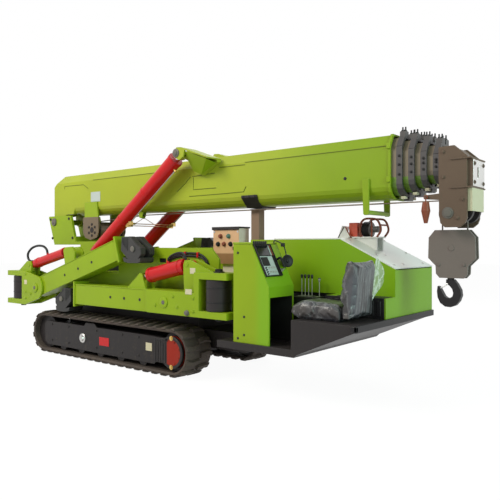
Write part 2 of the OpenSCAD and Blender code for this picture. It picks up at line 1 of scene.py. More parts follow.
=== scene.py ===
# %% [markdown]
# A compact crawler crane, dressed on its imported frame.
# The frame holds every rigid shape of the machine in metres, with +Z up and
# the boom along +X. This lesson keeps those shapes where they are, gives them
# finishes made of shader nodes, and adds the small things a solid model leaves
# out: bolts, pipes, rope, weld seams, the wrapped seat.

# %% Load the frame
import math
import json

import bmesh
import bpy
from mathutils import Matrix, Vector


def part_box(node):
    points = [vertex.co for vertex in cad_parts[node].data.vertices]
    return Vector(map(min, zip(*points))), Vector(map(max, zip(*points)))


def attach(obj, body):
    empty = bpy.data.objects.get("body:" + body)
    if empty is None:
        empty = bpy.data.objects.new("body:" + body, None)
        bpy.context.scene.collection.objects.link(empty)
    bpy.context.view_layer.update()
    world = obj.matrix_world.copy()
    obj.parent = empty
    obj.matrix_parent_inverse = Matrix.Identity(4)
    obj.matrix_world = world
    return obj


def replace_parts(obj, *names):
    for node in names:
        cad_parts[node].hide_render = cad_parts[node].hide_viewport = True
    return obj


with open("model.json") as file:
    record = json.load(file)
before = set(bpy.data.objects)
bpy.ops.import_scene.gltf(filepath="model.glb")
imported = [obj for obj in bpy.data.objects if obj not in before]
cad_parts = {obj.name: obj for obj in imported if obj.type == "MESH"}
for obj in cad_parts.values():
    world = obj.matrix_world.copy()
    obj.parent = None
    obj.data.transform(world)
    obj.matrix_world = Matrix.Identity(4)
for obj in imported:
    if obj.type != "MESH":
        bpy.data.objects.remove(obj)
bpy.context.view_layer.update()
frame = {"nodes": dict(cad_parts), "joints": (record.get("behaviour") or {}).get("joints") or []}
nodes = frame["nodes"]

# %% [markdown]
# The drawings of the crane count stations in millimetres forward from the rear
# end of the tracks. One helper turns a station into a point of the frame, so
# every number below can be compared with the drawings. Another puts a new
# object into the scene.

# %% Stations
DECK_FRONT = 5077
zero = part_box("deck")[1].x - DECK_FRONT / 1000


def at(x, y, z):
    return Vector((x / 1000 + zero, y / 1000, z / 1000))


def placed(name, data):
    o = bpy.data.objects.new(name, data)
    bpy.context.scene.collection.objects.link(o)
    return o


print("station 0 lies at x =", round(zero, 4))

# %% [markdown]
# The photograph was taken level, from the right side near the front. A level
# camera keeps uprights upright, and a small vertical shift puts the horizon a
# little over the middle of the picture without tilting it.

# %% Camera
eye = bpy.data.cameras.new("eye")
eye.lens = 42.0
eye.sensor_width = 36.0
eye.shift_y = -0.0101
eye.clip_end = 200
camera = placed("camera", eye)
camera.location = at(7478, -5183, 1458)
camera.rotation_euler = (math.radians(90), 0, math.radians(39.12))
bpy.context.scene.camera = camera
bpy.context.scene.view_settings.view_transform = "Standard"
print("camera at", [round(v, 3) for v in camera.location])

# %% [markdown]
# Shader sums read best as Python sums. A small class wraps one output socket
# and overloads the operators, and every sum adds a Math node to the material.
# Any other node comes from one method of the finish: its type, its settings,
# and the values or links of its sockets.


# %% Sockets and finishes
class Value:
    def __init__(self, tree, socket):
        self.tree = tree
        self.socket = socket

    def sum(self, operation, a, b=0.0):
        n = self.tree.nodes.new("ShaderNodeMath")
        n.operation = operation
        for place, v in zip(n.inputs, (a, b)):
            if isinstance(v, Value):
                self.tree.links.new(v.socket, place)
            else:
                place.default_value = v
        return Value(self.tree, n.outputs[0])

    def __add__(self, other):
        return self.sum("ADD", self, other)

    __radd__ = __add__

    def __sub__(self, other):
        return self.sum("SUBTRACT", self, other)

    def __rsub__(self, other):
        return self.sum("SUBTRACT", other, self)

    def __mul__(self, other):
        return self.sum("MULTIPLY", self, other)

    __rmul__ = __mul__

    def __truediv__(self, other):
        return self.sum("DIVIDE", self, other)

    def __gt__(self, other):
        return self.sum("GREATER_THAN", self, other)

    def __lt__(self, other):
        return self.sum("LESS_THAN", self, other)

    def __abs__(self):
        return self.sum("ABSOLUTE", self)

    def clamp(self):
        n = self.tree.nodes.new("ShaderNodeClamp")
        self.tree.links.new(self.socket, n.inputs[0])
        return Value(self.tree, n.outputs[0])

    def smooth(self, low, high):
        n = self.tree.nodes.new("ShaderNodeMapRange")
        n.interpolation_type = "SMOOTHSTEP"
        self.tree.links.new(self.socket, n.inputs["Value"])
        n.inputs["From Min"].default_value = low
        n.inputs["From Max"].default_value = high
        return Value(self.tree, n.outputs[0])


class Tree:
    def node(self, kind, settings=None, inputs=None, out=0):
        n = self.tree.nodes.new(kind)
        for key, v in (settings or {}).items():
            if key == "stops":
                ramp = n.color_ramp
                while len(ramp.elements) < len(v):
                    ramp.elements.new(0.5)
                for stop, (where, colour) in zip(ramp.elements, v):
                    stop.position = where
                    stop.color = (*colour, 1)
            else:
                setattr(n, key, v)
        for key, v in (inputs or {}).items():
            if isinstance(v, (Value, list)):
                for link in v if isinstance(v, list) else [v]:
                    self.tree.links.new(link.socket, n.inputs[key])
            else:
                n.inputs[key].default_value = v
        return Value(self.tree, n.outputs[out])


class Finish(Tree):
    def __init__(self, name, **constants):
        self.material = bpy.data.materials.new(name)
        self.material.use_nodes = True
        self.tree = self.material.node_tree
        self.shader = self.tree.nodes["Principled BSDF"]
        for socket, v in constants.items():
            self.shader.inputs[socket.replace("_", " ")].default_value = v
        self.place = self.node("ShaderNodeTexCoord", out="Object")

    def noise(self, scale, detail=3.0, rough=0.5, stretch=None):
        place = self.place
        if stretch:
            place = self.node("ShaderNodeMapping", None, {"Vector": place, "Scale": stretch})
        return self.node("ShaderNodeTexNoise", None,
            {"Vector": place, "Scale": scale, "Detail": detail, "Roughness": rough})

    def axis(self, letter):
        return self.node("ShaderNodeSeparateXYZ", None, {0: self.place}, out=letter)

    def mix(self, factor, a, b):
        def four(c):
            return c if isinstance(c, Value) else (*c, 1)

        return self.node("ShaderNodeMix", {"data_type": "RGBA"}, {0: factor, 6: four(a), 7: four(b)}, out=2)

    def feed(self, socket, v):
        self.tree.links.new(v.socket, self.shader.inputs[socket])

    def bump(self, height, strength, distance, normal=None):
        links = {"Height": height, "Strength": strength, "Distance": distance}
        if normal:
            links["Normal"] = normal
        self.feed("Normal", self.node("ShaderNodeBump", None, links))

    def done(self, body, rough, height, strength, distance, normal=None):
        """Closes the finish with its colour, its roughness and its fine relief."""
        self.feed("Base Color", body)
        self.feed("Roughness", rough)
        self.bump(height, strength, distance, normal)
        return self.material

    def edges(self, radius):
        """How sharply the surface turns within the radius, and the rounded normal."""
        soft = self.node("ShaderNodeBevel", {"samples": 4}, {"Radius": radius})
        flat = self.node("ShaderNodeNewGeometry", None, None, out="Normal")
        along = self.node("ShaderNodeVectorMath", {"operation": "DOT_PRODUCT"}, {0: soft, 1: flat},
            out="Value")
        return (1 - along), soft

    def rubbed(self, corner, fine, share=0.5):
        """Where the edges have lost their paint."""
        return ((corner * 3.0) * (fine + 0.25)).smooth(0.12, 0.62) * share


print("sockets and finishes are ready")

# %% [markdown]
# Paint on a working machine is glossy, but never even: it has a faint orange
# peel, slow drifts of colour, rubbed edges, and dust that settles low down.
# The edge mask compares the true normal with one rounded over a few
# millimetres, so it finds the corners from any side.


# %% Painted finishes
WORN_GREEN = (0.40, 0.50, 0.07)
FRONT_TONE_FROM, FRONT_TONE_OVER = 3250, 1.4


def painted(name, colour, worn, rough=0.42, coat=0.06, dust=0.25, peel=0.03, drift=0.12, edge=0.5,
        round_by=0.006, front=None):
    f = Finish(name, Coat_Weight=coat, Coat_Roughness=0.15, Specular_IOR_Level=0.22)
    corner, soft = f.edges(round_by)
    slow = f.noise(1.7, 2.0)
    fine = f.noise(38.0, 5.0, 0.6)
    streak = f.noise(1.0, 4.0, 0.6, stretch=(22.0, 22.0, 1.6))
    low = (0.75 - f.axis("Z")).smooth(0.0, 0.8)
    rub = f.rubbed(corner, fine, edge)
    dirt = ((fine * 0.6 + streak * 0.4).smooth(0.5, 0.72) * (low * 0.8 + 0.2)) * dust

    def tone(c):
        return f.mix(slow, [v * (1 - drift) for v in c], [min(1.0, v * (1 + drift)) for v in c])

    body = tone(colour)
    # Towards the front the colour turns to a second one, along X. On the hood that second colour is painted
    # light: the cooler green the front fill gives its forward faces.
    if front:
        ahead = (f.axis("X") - at(FRONT_TONE_FROM, 0, 0).x).smooth(0.0, FRONT_TONE_OVER)
        body = f.mix(ahead, body, tone(front))
    body = f.mix(dirt, body, (0.16, 0.13, 0.09))
    body = f.mix(rub, body, worn)
    return f.done(body, (slow * 0.08 + fine * 0.1 + dirt * 0.5 + (rough - 0.09)).clamp(), f.noise(210.0, 2.0),
        peel, 0.002, soft)


green = painted("green_paint", (0.272, 0.395, 0.009), WORN_GREEN)
# The hood's front colour is painted light, the cooler green of the front fill on its forward faces.
hood_green = painted("hood_paint", (0.268, 0.395, 0.008), WORN_GREEN, front=(0.205, 0.385, 0.006))
boom_green = painted("boom_paint", (0.365, 0.425, 0.026), (0.42, 0.50, 0.08), front=(0.250, 0.365, 0.009))
taupe = painted("taupe_paint", (0.135, 0.088, 0.062), (0.24, 0.19, 0.15), rough=0.5, coat=0.05)
dark = painted("dark_paint", (0.026, 0.021, 0.022), (0.085, 0.078, 0.078), rough=0.5, coat=0.06, dust=0.25)
black = painted("black_paint", (0.016, 0.014, 0.016), (0.06, 0.06, 0.06), rough=0.45, coat=0.06)
red = painted("red_paint", (0.56, 0.006, 0.009), (0.64, 0.07, 0.06), rough=0.36, coat=0.18, dust=0.1)
orange = painted("orange_paint", (0.30, 0.015, 0.004), (0.42, 0.07, 0.02), rough=0.5, coat=0.05)
white = painted("white_paint", (0.80, 0.80, 0.77), (0.86, 0.85, 0.82), rough=0.35, coat=0.25, dust=0.08,
    drift=0.03)
block_grey = painted("block_grey", (0.188, 0.153, 0.140), (0.24, 0.21, 0.20), rough=0.5, coat=0.05)
brick = painted("weight_paint", (0.25, 0.065, 0.035), (0.34, 0.16, 0.11), rough=0.5, coat=0.1)
cream = painted("cream_plate", (0.66, 0.60, 0.42), (0.74, 0.68, 0.52), rough=0.45, coat=0.1, dust=0.1,
    drift=0.05)
pale_plate = painted("pale_plate", (0.50, 0.56, 0.55), (0.60, 0.64, 0.62), rough=0.3, coat=0.3, dust=0.1,
    drift=0.06)
teal = painted("teal_knob", (0.10, 0.20, 0.16), (0.2, 0.3, 0.26), rough=0.35, dust=0.05)
plastic = painted("black_plastic", (0.018, 0.018, 0.019), (0.06, 0.06, 0.06), rough=0.45, coat=0.0, dust=0.12,
    round_by=0.002)
glass = painted("display_glass", (0.012, 0.013, 0.015), (0.03, 0.03, 0.03), rough=0.08, coat=0.8, dust=0.03,
    peel=0.0, round_by=0.001)
weld = painted("weld_seam", (0.135, 0.170, 0.010), (0.20, 0.24, 0.03), rough=0.5, coat=0.1)
post_paint = painted("post_paint", (0.245, 0.155, 0.108), (0.28, 0.22, 0.18), rough=0.5, coat=0.05)
frame_paint = painted("frame_paint", (0.020, 0.0165, 0.0175), (0.075, 0.068, 0.068), rough=0.5, coat=0.06)
pin_grey = painted("pin_grey", (0.15, 0.135, 0.12), (0.26, 0.24, 0.22), rough=0.45, coat=0.05)
print("painted finishes: 20")

# %% [markdown]
# Bare finishes come next: the rubber of the tracks, chrome rods, turned steel
# and brass. Rubber is dull and takes dust in its low places; chrome is almost
# a mirror, broken only by fine turning marks.


# %% Rubber and metals
def rubber_finish(name, colour, dusty, rough=0.75):
    f = Finish(name)
    corner, soft = f.edges(0.005)
    fine = f.noise(45.0, 6.0, 0.65)
    slow = f.noise(3.0, 3.0)
    mask = (fine * 0.7 + slow * 0.5).smooth(0.52, 0.8)
    body = f.mix(mask * 0.55, colour, dusty)
    body = f.mix((corner * 2.2).clamp() * 0.35, body, dusty)
    return f.done(body, (fine * 0.2 + (rough - 0.1)).clamp(), fine, 0.18, 0.004, soft)


def metal_finish(name, colour, rough, marks=0.05, tarnish=None, spread=0.25):
    f = Finish(name, Metallic=1.0)
    fine = f.noise(30.0, 5.0, 0.6)
    slow = f.noise(4.0, 2.0)
    body = f.mix((fine * 0.6 + slow * 0.4).smooth(0.45, 0.75) * spread, colour,
        tarnish or [c * 0.7 for c in colour])
    return f.done(body, (fine * 0.15 + slow * 0.08 + (rough - 0.1)).clamp(), f.noise(320.0, 2.0), marks,
        0.001)


rubber = rubber_finish("track_rubber", (0.043, 0.030, 0.024), (0.108, 0.076, 0.054))
sole = rubber_finish("foot_rubber", (0.020, 0.019, 0.019), (0.05, 0.047, 0.044), rough=0.6)
chrome = metal_finish("rod_chrome", (0.80, 0.81, 0.83), 0.12)
steel = metal_finish("turned_steel", (0.56, 0.55, 0.53), 0.32, tarnish=(0.34, 0.31, 0.28))
brass = metal_finish("brass", (0.60, 0.42, 0.14), 0.30, tarnish=(0.32, 0.20, 0.07))
bright = metal_finish("zinc_plate", (0.72, 0.72, 0.70), 0.36, tarnish=(0.52, 0.50, 0.46))
print("bare finishes: 6")

# %% [markdown]
# Some solids carry two finishes, as a lever bank does: black box, bright rods,
# black knobs. The split follows the height on the piece, read from its own
# coordinates, so it stays put from every side.


# %% Split finishes
GREENS = (0.250, 0.352, 0.009), (0.319, 0.448, 0.011)


def lever_finish():
    f = Finish("lever_bank", Coat_Weight=0.1)
    z = f.axis("Z")
    fine = f.noise(40.0, 4.0)
    rod = (z > 0.9335) * (z < 1.114)
    body = f.mix(rod, (0.020, 0.019, 0.020), (0.46, 0.47, 0.40))
    body = f.mix(fine.smooth(0.55, 0.8) * 0.25, body, (0.12, 0.10, 0.08))
    f.feed("Metallic", rod * 0.7)
    return f.done(body, fine * 0.2 + 0.28, f.noise(180.0, 2.0), 0.05, 0.002)


def control_finish():
    f = Finish("control_box", Coat_Weight=0.15)
    face = f.axis("Y") < -0.1085
    slow = f.noise(5.0, 3.0)
    fine = f.noise(60.0, 5.0)
    low = (1.36 - f.axis("Z")).smooth(-0.01, 0.01)
    front = f.mix(slow, (0.70, 0.40, 0.21), (0.80, 0.48, 0.28))
    front = f.mix(low, front, f.mix(slow, (0.23, 0.12, 0.05), (0.40, 0.20, 0.09)))
    # The sides are cream, and their colour is also raised as painted light, to make up for the shade they
    # stand in.
    body = f.mix(face, f.mix(slow, (0.80, 0.66, 0.56), (0.88, 0.75, 0.66)), front)
    body = f.mix(fine.smooth(0.55, 0.8) * 0.15, body, (0.3, 0.2, 0.14))
    return f.done(body, fine * 0.2 + 0.3, f.noise(200.0, 2.0), 0.04, 0.002)


def reel_finish():
    f = Finish("reel_unit", Coat_Weight=0.2)
    x = f.axis("X")
    z = f.axis("Z")
    motor = (x < at(4512, 0, 0).x) * (z > 1.545)
    fine = f.noise(40.0, 4.0)
    drum = f.mix(fine, (0.06, 0.06, 0.06), (0.22, 0.21, 0.20))
    drum = f.mix(z < 1.545, drum, (0.78, 0.78, 0.75))
    body = f.mix(motor, drum, f.mix(fine, (0.66, 0.07, 0.03), (0.80, 0.12, 0.06)))
    return f.done(body, fine * 0.25 + 0.3, f.noise(150.0, 2.0), 0.05, 0.002)


def console_finish():
    """Green outside; the open knee space is painted near black inside, as painted shade."""
    f = Finish("console_paint", Coat_Weight=0.06, Coat_Roughness=0.15, Specular_IOR_Level=0.22)
    corner, soft = f.edges(0.006)
    slow = f.noise(1.7, 2.0)
    fine = f.noise(38.0, 5.0, 0.6)
    x = f.axis("X")
    inside = (f.axis("Z") < 0.956) * (abs(f.axis("Y") + 0.595) < 0.19)
    inside = inside * (x > at(3712, 0, 0).x) * (x < at(4136, 0, 0).x)
    body = f.mix(slow, *GREENS)
    # Painted light: towards the front, over the slope, the green turns cooler and deeper, as the front fill
    # makes it look.
    ahead = (x - at(3940, 0, 0).x).smooth(0.0, 0.12)
    body = f.mix(ahead, body, (0.235, 0.440, 0.014))
    body = f.mix(f.rubbed(corner, fine), body, WORN_GREEN)
    # Painted shade: the open knee space is near black.
    body = f.mix(inside, body, f.mix(fine, (0.010, 0.011, 0.010), (0.022, 0.024, 0.02)))
    return f.done(body, (slow * 0.08 + fine * 0.1 + inside * 0.3 + 0.33).clamp(), f.noise(210.0, 2.0), 0.03,
        0.002, soft)


def winch_finish():
    """The hanger is green above and bare taupe round the drum."""
    f = Finish("winch_plate", Coat_Weight=0.06, Specular_IOR_Level=0.3)
    corner, soft = f.edges(0.005)
    slow = f.noise(2.5, 2.0)
    fine = f.noise(38.0, 5.0, 0.6)
    body = f.mix(f.axis("Z") > 1.85, f.mix(slow, (0.150, 0.110, 0.070), (0.20, 0.150, 0.098)),
        f.mix(slow, *GREENS))
    body = f.mix(f.rubbed(corner, fine), body, (0.30, 0.28, 0.2))
    return f.done(body, (slow * 0.1 + fine * 0.12 + 0.36).clamp(), f.noise(210.0, 2.0), 0.04, 0.002, soft)


console_paint = console_finish()
winch_plate = winch_finish()
lever_bank = lever_finish()
control_face = control_finish()
reel_unit = reel_finish()
print("split finishes: 5")

# %% [markdown]
# The boom sections show a taupe band and then a dark collar with pad blocks.
# The collar is the last 56 mm of each section, so the split runs along X.


# %% Boom section finish
def section_finish(name, front):
    f = Finish(name, Coat_Weight=0.15, Coat_Roughness=0.2)
    corner, soft = f.edges(0.004)
    x = f.axis("X")
    z = f.axis("Z")
    fine = f.noise(30.0, 5.0, 0.6)
    slow = f.noise(4.0, 2.0)
    collar = x > at(front - 56.5, 0, 0).x
    band = f.mix(slow, (0.19, 0.145, 0.09), (0.24, 0.19, 0.125))
    round_bottom = (2.085 - z).smooth(0.0, 0.01)
    band = f.mix(round_bottom, band, f.mix(slow, (0.10, 0.20, 0.012), (0.17, 0.30, 0.02)))
    body = f.mix(collar, band, f.mix(slow, (0.040, 0.034, 0.036), (0.065, 0.055, 0.055)))
    body = f.mix((corner * 3 * (fine + 0.2)).smooth(0.15, 0.7) * 0.5, body, (0.16, 0.15, 0.14))
    return f.done(body, fine * 0.2 + 0.34, f.noise(160.0, 2.0), 0.05, 0.002, soft)


BOOM_FRONT, COLLAR_STEP, SECTIONS = 5100, 108, range(2, 6)
collar_fronts = {k: BOOM_FRONT + COLLAR_STEP * (k - 1) for k in SECTIONS}
sections = {f"boom_{k}": section_finish(f"section_{k}_finish", front) for k, front in collar_fronts.items()}
print("section finishes:", len(sections))

# %% [markdown]
# Now each solid of the frame gets its finish. A solid keeps its mesh; only the
# material in its slot changes.

# %% Finishes on the solids
WEARS = {
    "track_right": rubber, "track_left": rubber, "track_frames": frame_paint, "track_wheels": frame_paint,
    "drive_covers": orange, "carbody": dark, "chassis_frame": green, "swing_posts": dark,
    "slew_ring": dark, "deck": dark, "console": console_paint, "console_panel": black, "hood": hood_green,
    "hood_cover": white, "engine_block": dark, "oil_tank": black, "levers": lever_bank,
    "seat_cushion": black, "seat_back": black, "control_box": control_face, "boom_rest": post_paint,
    "guard_reel": reel_unit, "turntable": green, "boom_base": boom_green, "boom_saddle": dark,
    "winch_frame": winch_plate, "winch_drum": dark, "luff_barrels": red, "luff_rods": chrome,
    "boom_head": taupe, "head_sheaves": dark, "hook_block": block_grey, "hook": black, "limit_weight": brick,
}
CORNERS = ("rf", "lf", "rr", "lr")
LEG_WEARS = {"bracket_": green, "arm_": green, "foot_": sole, "leg_barrel_": red, "leg_rod_": chrome}
WEARS.update({part + corner: finish for corner in CORNERS for part, finish in LEG_WEARS.items()})
WEARS.update(sections)
for name, solid in nodes.items():
    solid.data.materials.clear()
    solid.data.materials.append(WEARS[name])
print("solids with a finish:", len(WEARS))

# %% [markdown]
# From here on the lesson adds the pieces that the solids leave out. Most are
# small and rigid, so a few helpers draw bars, bent tubes, plates and turned
# shapes into one mesh, and another hangs that mesh on the body that carries it.


# %% Helpers for rigid pieces
SHARP_FROM, BEVEL_FROM = math.radians(35), math.radians(40)


def sides_of(way):
    way = way.normalized()
    a = way.cross(Vector((0, 0, 1)) if abs(way.z) < 0.9 else Vector((1, 0, 0))).normalized()
    return a, way.cross(a).normalized()


def rings(bm, loops, closed_ends=True):
    """Skins a row of vertex rings and closes the two ends."""
    rows = [[bm.verts.new(p) for p in loop] for loop in loops]
    n = len(rows[0])
    for a, b in zip(rows, rows[1:]):
        for i in range(n):
            bm.faces.new((a[i], a[(i + 1) % n], b[(i + 1) % n], b[i]))
    if closed_ends:
        bm.faces.new(rows[0][::-1])
        bm.faces.new(rows[-1])


def turned(bm, base, way, profile, n=24):
    """A turned shape: pairs of radius and height along the axis."""
    a, b = sides_of(way)
    way = way.normalized()
    turns = [2 * math.pi * i / n for i in range(n)]
    rings(bm, [[base + way * h + (a * math.cos(t) + b * math.sin(t)) * r for t in turns] for r, h in profile])


def bar(bm, p, q, r, n=16):
    soft = min(r * 0.25, (q - p).length * 0.2)
    long = (q - p).length
    turned(bm, p, q - p, [(r - soft, 0), (r, soft), (r, long - soft), (r - soft, long)], n)


def plate(bm, outline, thick):
    """A flat outline carried along the vector thick."""
    rings(bm, [list(outline), [p + thick for p in outline]])


def block(bm, low, high):
    x0, y0, z0 = low
    x1, y1, z1 = high
    base = [Vector((x, y, z0)) for x, y in ((x0, y0), (x1, y0), (x1, y1), (x0, y1))]
    plate(bm, base, Vector((0, 0, z1 - z0)))


def slab(bm, x, y, z):
    """A block between pairs of stations, each pair in any order."""
    block(bm, at(min(x), min(y), min(z)), at(max(x), max(y), max(z)))


def side_plate(bm, corners, y, thick):
    """An upright plate: corners in X and Z, one face at y, thickness in metres."""
    plate(bm, [at(x, y, z) for x, z in corners], Vector((0, thick, 0)))


def side_cap(bm, hand, x, y, z, profile, n=24):
    """A turned cap on one side of the machine, y away from the middle."""
    turned(bm, at(x, hand * y, z), Vector((0, hand, 0)), profile, n)


def smooth_path(points, steps=6):
    """A Catmull-Rom curve through the points."""
    ends = [points[0] * 2 - points[1]] + list(points) + [points[-1] * 2 - points[-2]]
    path = []
    for p0, p1, p2, p3 in zip(ends, ends[1:], ends[2:], ends[3:]):
        square, cube = 2 * p0 - 5 * p1 + 4 * p2 - p3, 3 * p1 - p0 - 3 * p2 + p3
        for i in range(steps):
            t = i / steps
            path.append(0.5 * (2 * p1 + (p2 - p0) * t + square * t * t + cube * t ** 3))
    return path + [points[-1]]


def tube(bm, points, r, n=10, bend=True):
    path = smooth_path(points) if bend and len(points) > 2 else list(points)
    a, b = sides_of(path[1] - path[0])
    turns = [2 * math.pi * k / n for k in range(n)]
    loops = []
    for i, p in enumerate(path):
        way = (path[min(i + 1, len(path) - 1)] - path[max(i - 1, 0)]).normalized()
        a = (a - way * a.dot(way)).normalized()
        b = way.cross(a)
        loops.append([p + (a * math.cos(t) + b * math.sin(t)) * r for t in turns])
    rings(bm, loops)


def hang(o, body, finish, bevel=0.0):
    """Shades a new piece, gives it its finish and its body."""
    mesh = o.data
    mesh.polygons.foreach_set("use_smooth", [True] * len(mesh.polygons))
    mesh.set_sharp_from_angle(angle=SHARP_FROM)
    if not mesh.materials:
        mesh.materials.append(finish)
    if bevel:
        m = o.modifiers.new("edge", "BEVEL")
        m.width = bevel
        m.segments = 2
        m.limit_method = "ANGLE"
        m.angle_limit = BEVEL_FROM
    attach(o, body)
    return o


def made(name, bm, body, finish, bevel=0.0):
    bmesh.ops.recalc_face_normals(bm, faces=bm.faces)
    mesh = bpy.data.meshes.new(name)
    bm.to_mesh(mesh)
    bm.free()
    return hang(placed(name, mesh), body, finish, bevel)


def settle(o):
    """Works the modifiers of a piece into its mesh."""
    look = bpy.context.evaluated_depsgraph_get()
    mesh = bpy.data.meshes.new_from_object(o.evaluated_get(look), depsgraph=look)
    o.modifiers.clear()
    o.data = mesh
    return mesh


print("helpers for rigid pieces are ready")

# %% [markdown]
# What repeats is left to Geometry Nodes. A rule is a small node tree with
# named sizes. It grows something on every point of a seed mesh, the points
# carry the directions as attributes, and the result is kept as a plain mesh.


# %% Rules for what repeats
class Rule(Tree):
    def __init__(self, name, **sizes):
        self.tree = bpy.data.node_groups.new(name, "GeometryNodeTree")
        face = self.tree.interface
        face.new_socket("Geometry", in_out="INPUT", socket_type="NodeSocketGeometry")
        self.keys = {}
        for key, v in sizes.items():
            s = face.new_socket(key, in_out="INPUT", socket_type="NodeSocketFloat")
            s.default_value = v
            self.keys[key] = s.identifier
        face.new_socket("Geometry", in_out="OUTPUT", socket_type="NodeSocketGeometry")
        self.start = self.tree.nodes.new("NodeGroupInput")
        self.stop = self.tree.nodes.new("NodeGroupOutput")
        self.points = Value(self.tree, self.start.outputs["Geometry"])

    def size(self, key):
        return Value(self.tree, self.start.outputs[key])

    def mark(self, key):
        return self.node("GeometryNodeInputNamedAttribute", {"data_type": "FLOAT_VECTOR"}, {"Name": key})

    def standing(self):
        """The turn that sets a shape upright along the mark called out."""
        return self.node("FunctionNodeAlignRotationToVector", {"axis": "Z"}, {"Vector": self.mark("out")})

    def lifted(self, shape, height):
        up = self.node("ShaderNodeCombineXYZ", None, {"Z": height})
        return self.node("GeometryNodeTransform", None, {"Geometry": shape, "Translation": up})

    def stub(self, sides, radius, low, high):
        solid = self.node("GeometryNodeMeshCylinder", None,
            {"Vertices": sides, "Radius": radius, "Depth": high - low})
        return self.lifted(solid, (low + high) * 0.5)

    def plant(self, shape, turn=None):
        if turn is None:
            turn = self.standing()
        on = self.node("GeometryNodeInstanceOnPoints", None,
            {"Points": self.points, "Instance": shape, "Rotation": turn})
        real = self.node("GeometryNodeRealizeInstances", None, {"Geometry": on})
        self.coat = self.tree.nodes.new("GeometryNodeSetMaterial")
        self.tree.links.new(real.socket, self.coat.inputs["Geometry"])
        self.tree.links.new(self.coat.outputs[0], self.stop.inputs[0])

    def grow(self, name, points, finish, marks, **sizes):
        seed = bpy.data.meshes.new(name)
        seed.from_pydata([tuple(p) for p in points], [], [])
        for key, rows in marks.items():
            a = seed.attributes.new(key, "FLOAT_VECTOR", "POINT")
            a.data.foreach_set("vector", [c for row in rows for c in row])
        self.coat.inputs["Material"].default_value = finish
        o = placed(name, seed)
        m = o.modifiers.new("rule", "NODES")
        m.node_group = self.tree
        for key, v in sizes.items():
            m[self.keys[key]] = v
        bpy.context.view_layer.update()
        plain = settle(o)
        for key in marks:
            if key in plain.attributes:
                plain.attributes.remove(plain.attributes[key])
        return o


bolts = Rule("bolt_heads", Radius=0.012, Height=0.010)
wide, tall = bolts.size("Radius"), bolts.size("Height")
washer = bolts.stub(20, wide * 1.6, -0.001, tall * 0.25)
head = bolts.stub(6, wide, tall * 0.2, tall)
bolt = bolts.node("GeometryNodeJoinGeometry", None, {"Geometry": [washer, head]})
bolts.plant(bolt)
OUT = {
    "near": Vector((0, -1, 0)), "far": Vector((0, 1, 0)), "front": Vector((1, 0, 0)), "up": Vector((0, 0, 1)),
}
SIDES = ((-1, "near"), (1, "far"))


def bolt_group(name, body, spots, finish, radius=0.012, height=0.010):
    """Spots are pairs of a station and an outward direction."""
    o = bolts.grow(name, [at(*s) for s, _ in spots], finish, {"out": [OUT[w] for _, w in spots]},
        Radius=radius, Height=height)
    return hang(o, body, finish)


print("rules: bolt_heads")

# %% [markdown]
# A rubber track is an endless belt with two staggered rows of lugs. The belt
# is one cross-section carried round the loop. The lugs are a rule: a tapered
# block whose outer end slopes off, planted along the loop and turned so that
# it stands on the belt and points outward.

# %% Tracks
LOOP_R, HALF_RUN, BELT_STEPS, LUGS_A_ROW = 0.252, 1.255, 150, 44
LOOP = 4 * HALF_RUN + 2 * math.pi * LOOP_R
BELT = [(-0.188, -0.026), (-0.180, -0.034), (0.180, -0.034), (0.188, -0.026), (0.192, -0.012),
    (0.188, -0.003), (0.178, 0.0), (-0.178, 0.0), (-0.188, -0.003), (-0.192, -0.012)]


def on_loop(s, h=0.0):
    """Point, outward way and forward way on the loop, from the middle of the track."""
    s %= LOOP
    arc = math.pi * LOOP_R
    if s < 2 * HALF_RUN:
        x, angle = s - HALF_RUN, -90.0
    elif s < 2 * HALF_RUN + arc:
        x, angle = HALF_RUN, -90 + math.degrees((s - 2 * HALF_RUN) / LOOP_R)
    elif s < 4 * HALF_RUN + arc:
        x, angle = HALF_RUN - (s - 2 * HALF_RUN - arc), 90.0
    else:
        x, angle = -HALF_RUN, 90 + math.degrees((s - 4 * HALF_RUN - arc) / LOOP_R)
    out = Vector((math.cos(math.radians(angle)), 0, math.sin(math.radians(angle))))
    return Vector((x, 0, 0)) + out * (LOOP_R + h), out, Vector((-out.z, 0, out.x))


lugs = Rule("track_lugs", Length=0.066, Across=0.192, Height=0.0285)
length, across, height = lugs.size("Length"), lugs.size("Across"), lugs.size("Height")
cube = lugs.node("GeometryNodeMeshCube", None,
    {"Size": lugs.node("ShaderNodeCombineXYZ", None, {"X": length, "Y": across, "Z": height}),
    "Vertices Y": 5})
cube = lugs.lifted(cube, height * 0.5)
place = lugs.node("GeometryNodeInputPosition")
px, py, pz = (lugs.node("ShaderNodeSeparateXYZ", None, {0: place}, out=k) for k in "XYZ")
top = (pz / height).clamp()
rim = (py / across - 0.2).clamp() * 3.3
shaped = lugs.node("ShaderNodeCombineXYZ", None,
    {"X": px * (1 - top * 0.34) + abs(py) * 0.16 - 0.008, "Y": py - top * rim * 0.012,
    "Z": pz * (1 - rim * 0.42)})
lug = lugs.node("GeometryNodeSetPosition", None, {"Geometry": cube, "Position": shaped})
turn = lugs.node("FunctionNodeAlignRotationToVector", {"axis": "X", "pivot_axis": "Z"},
    {"Rotation": lugs.standing(), "Vector": lugs.mark("along")})
lugs.plant(lug, turn)

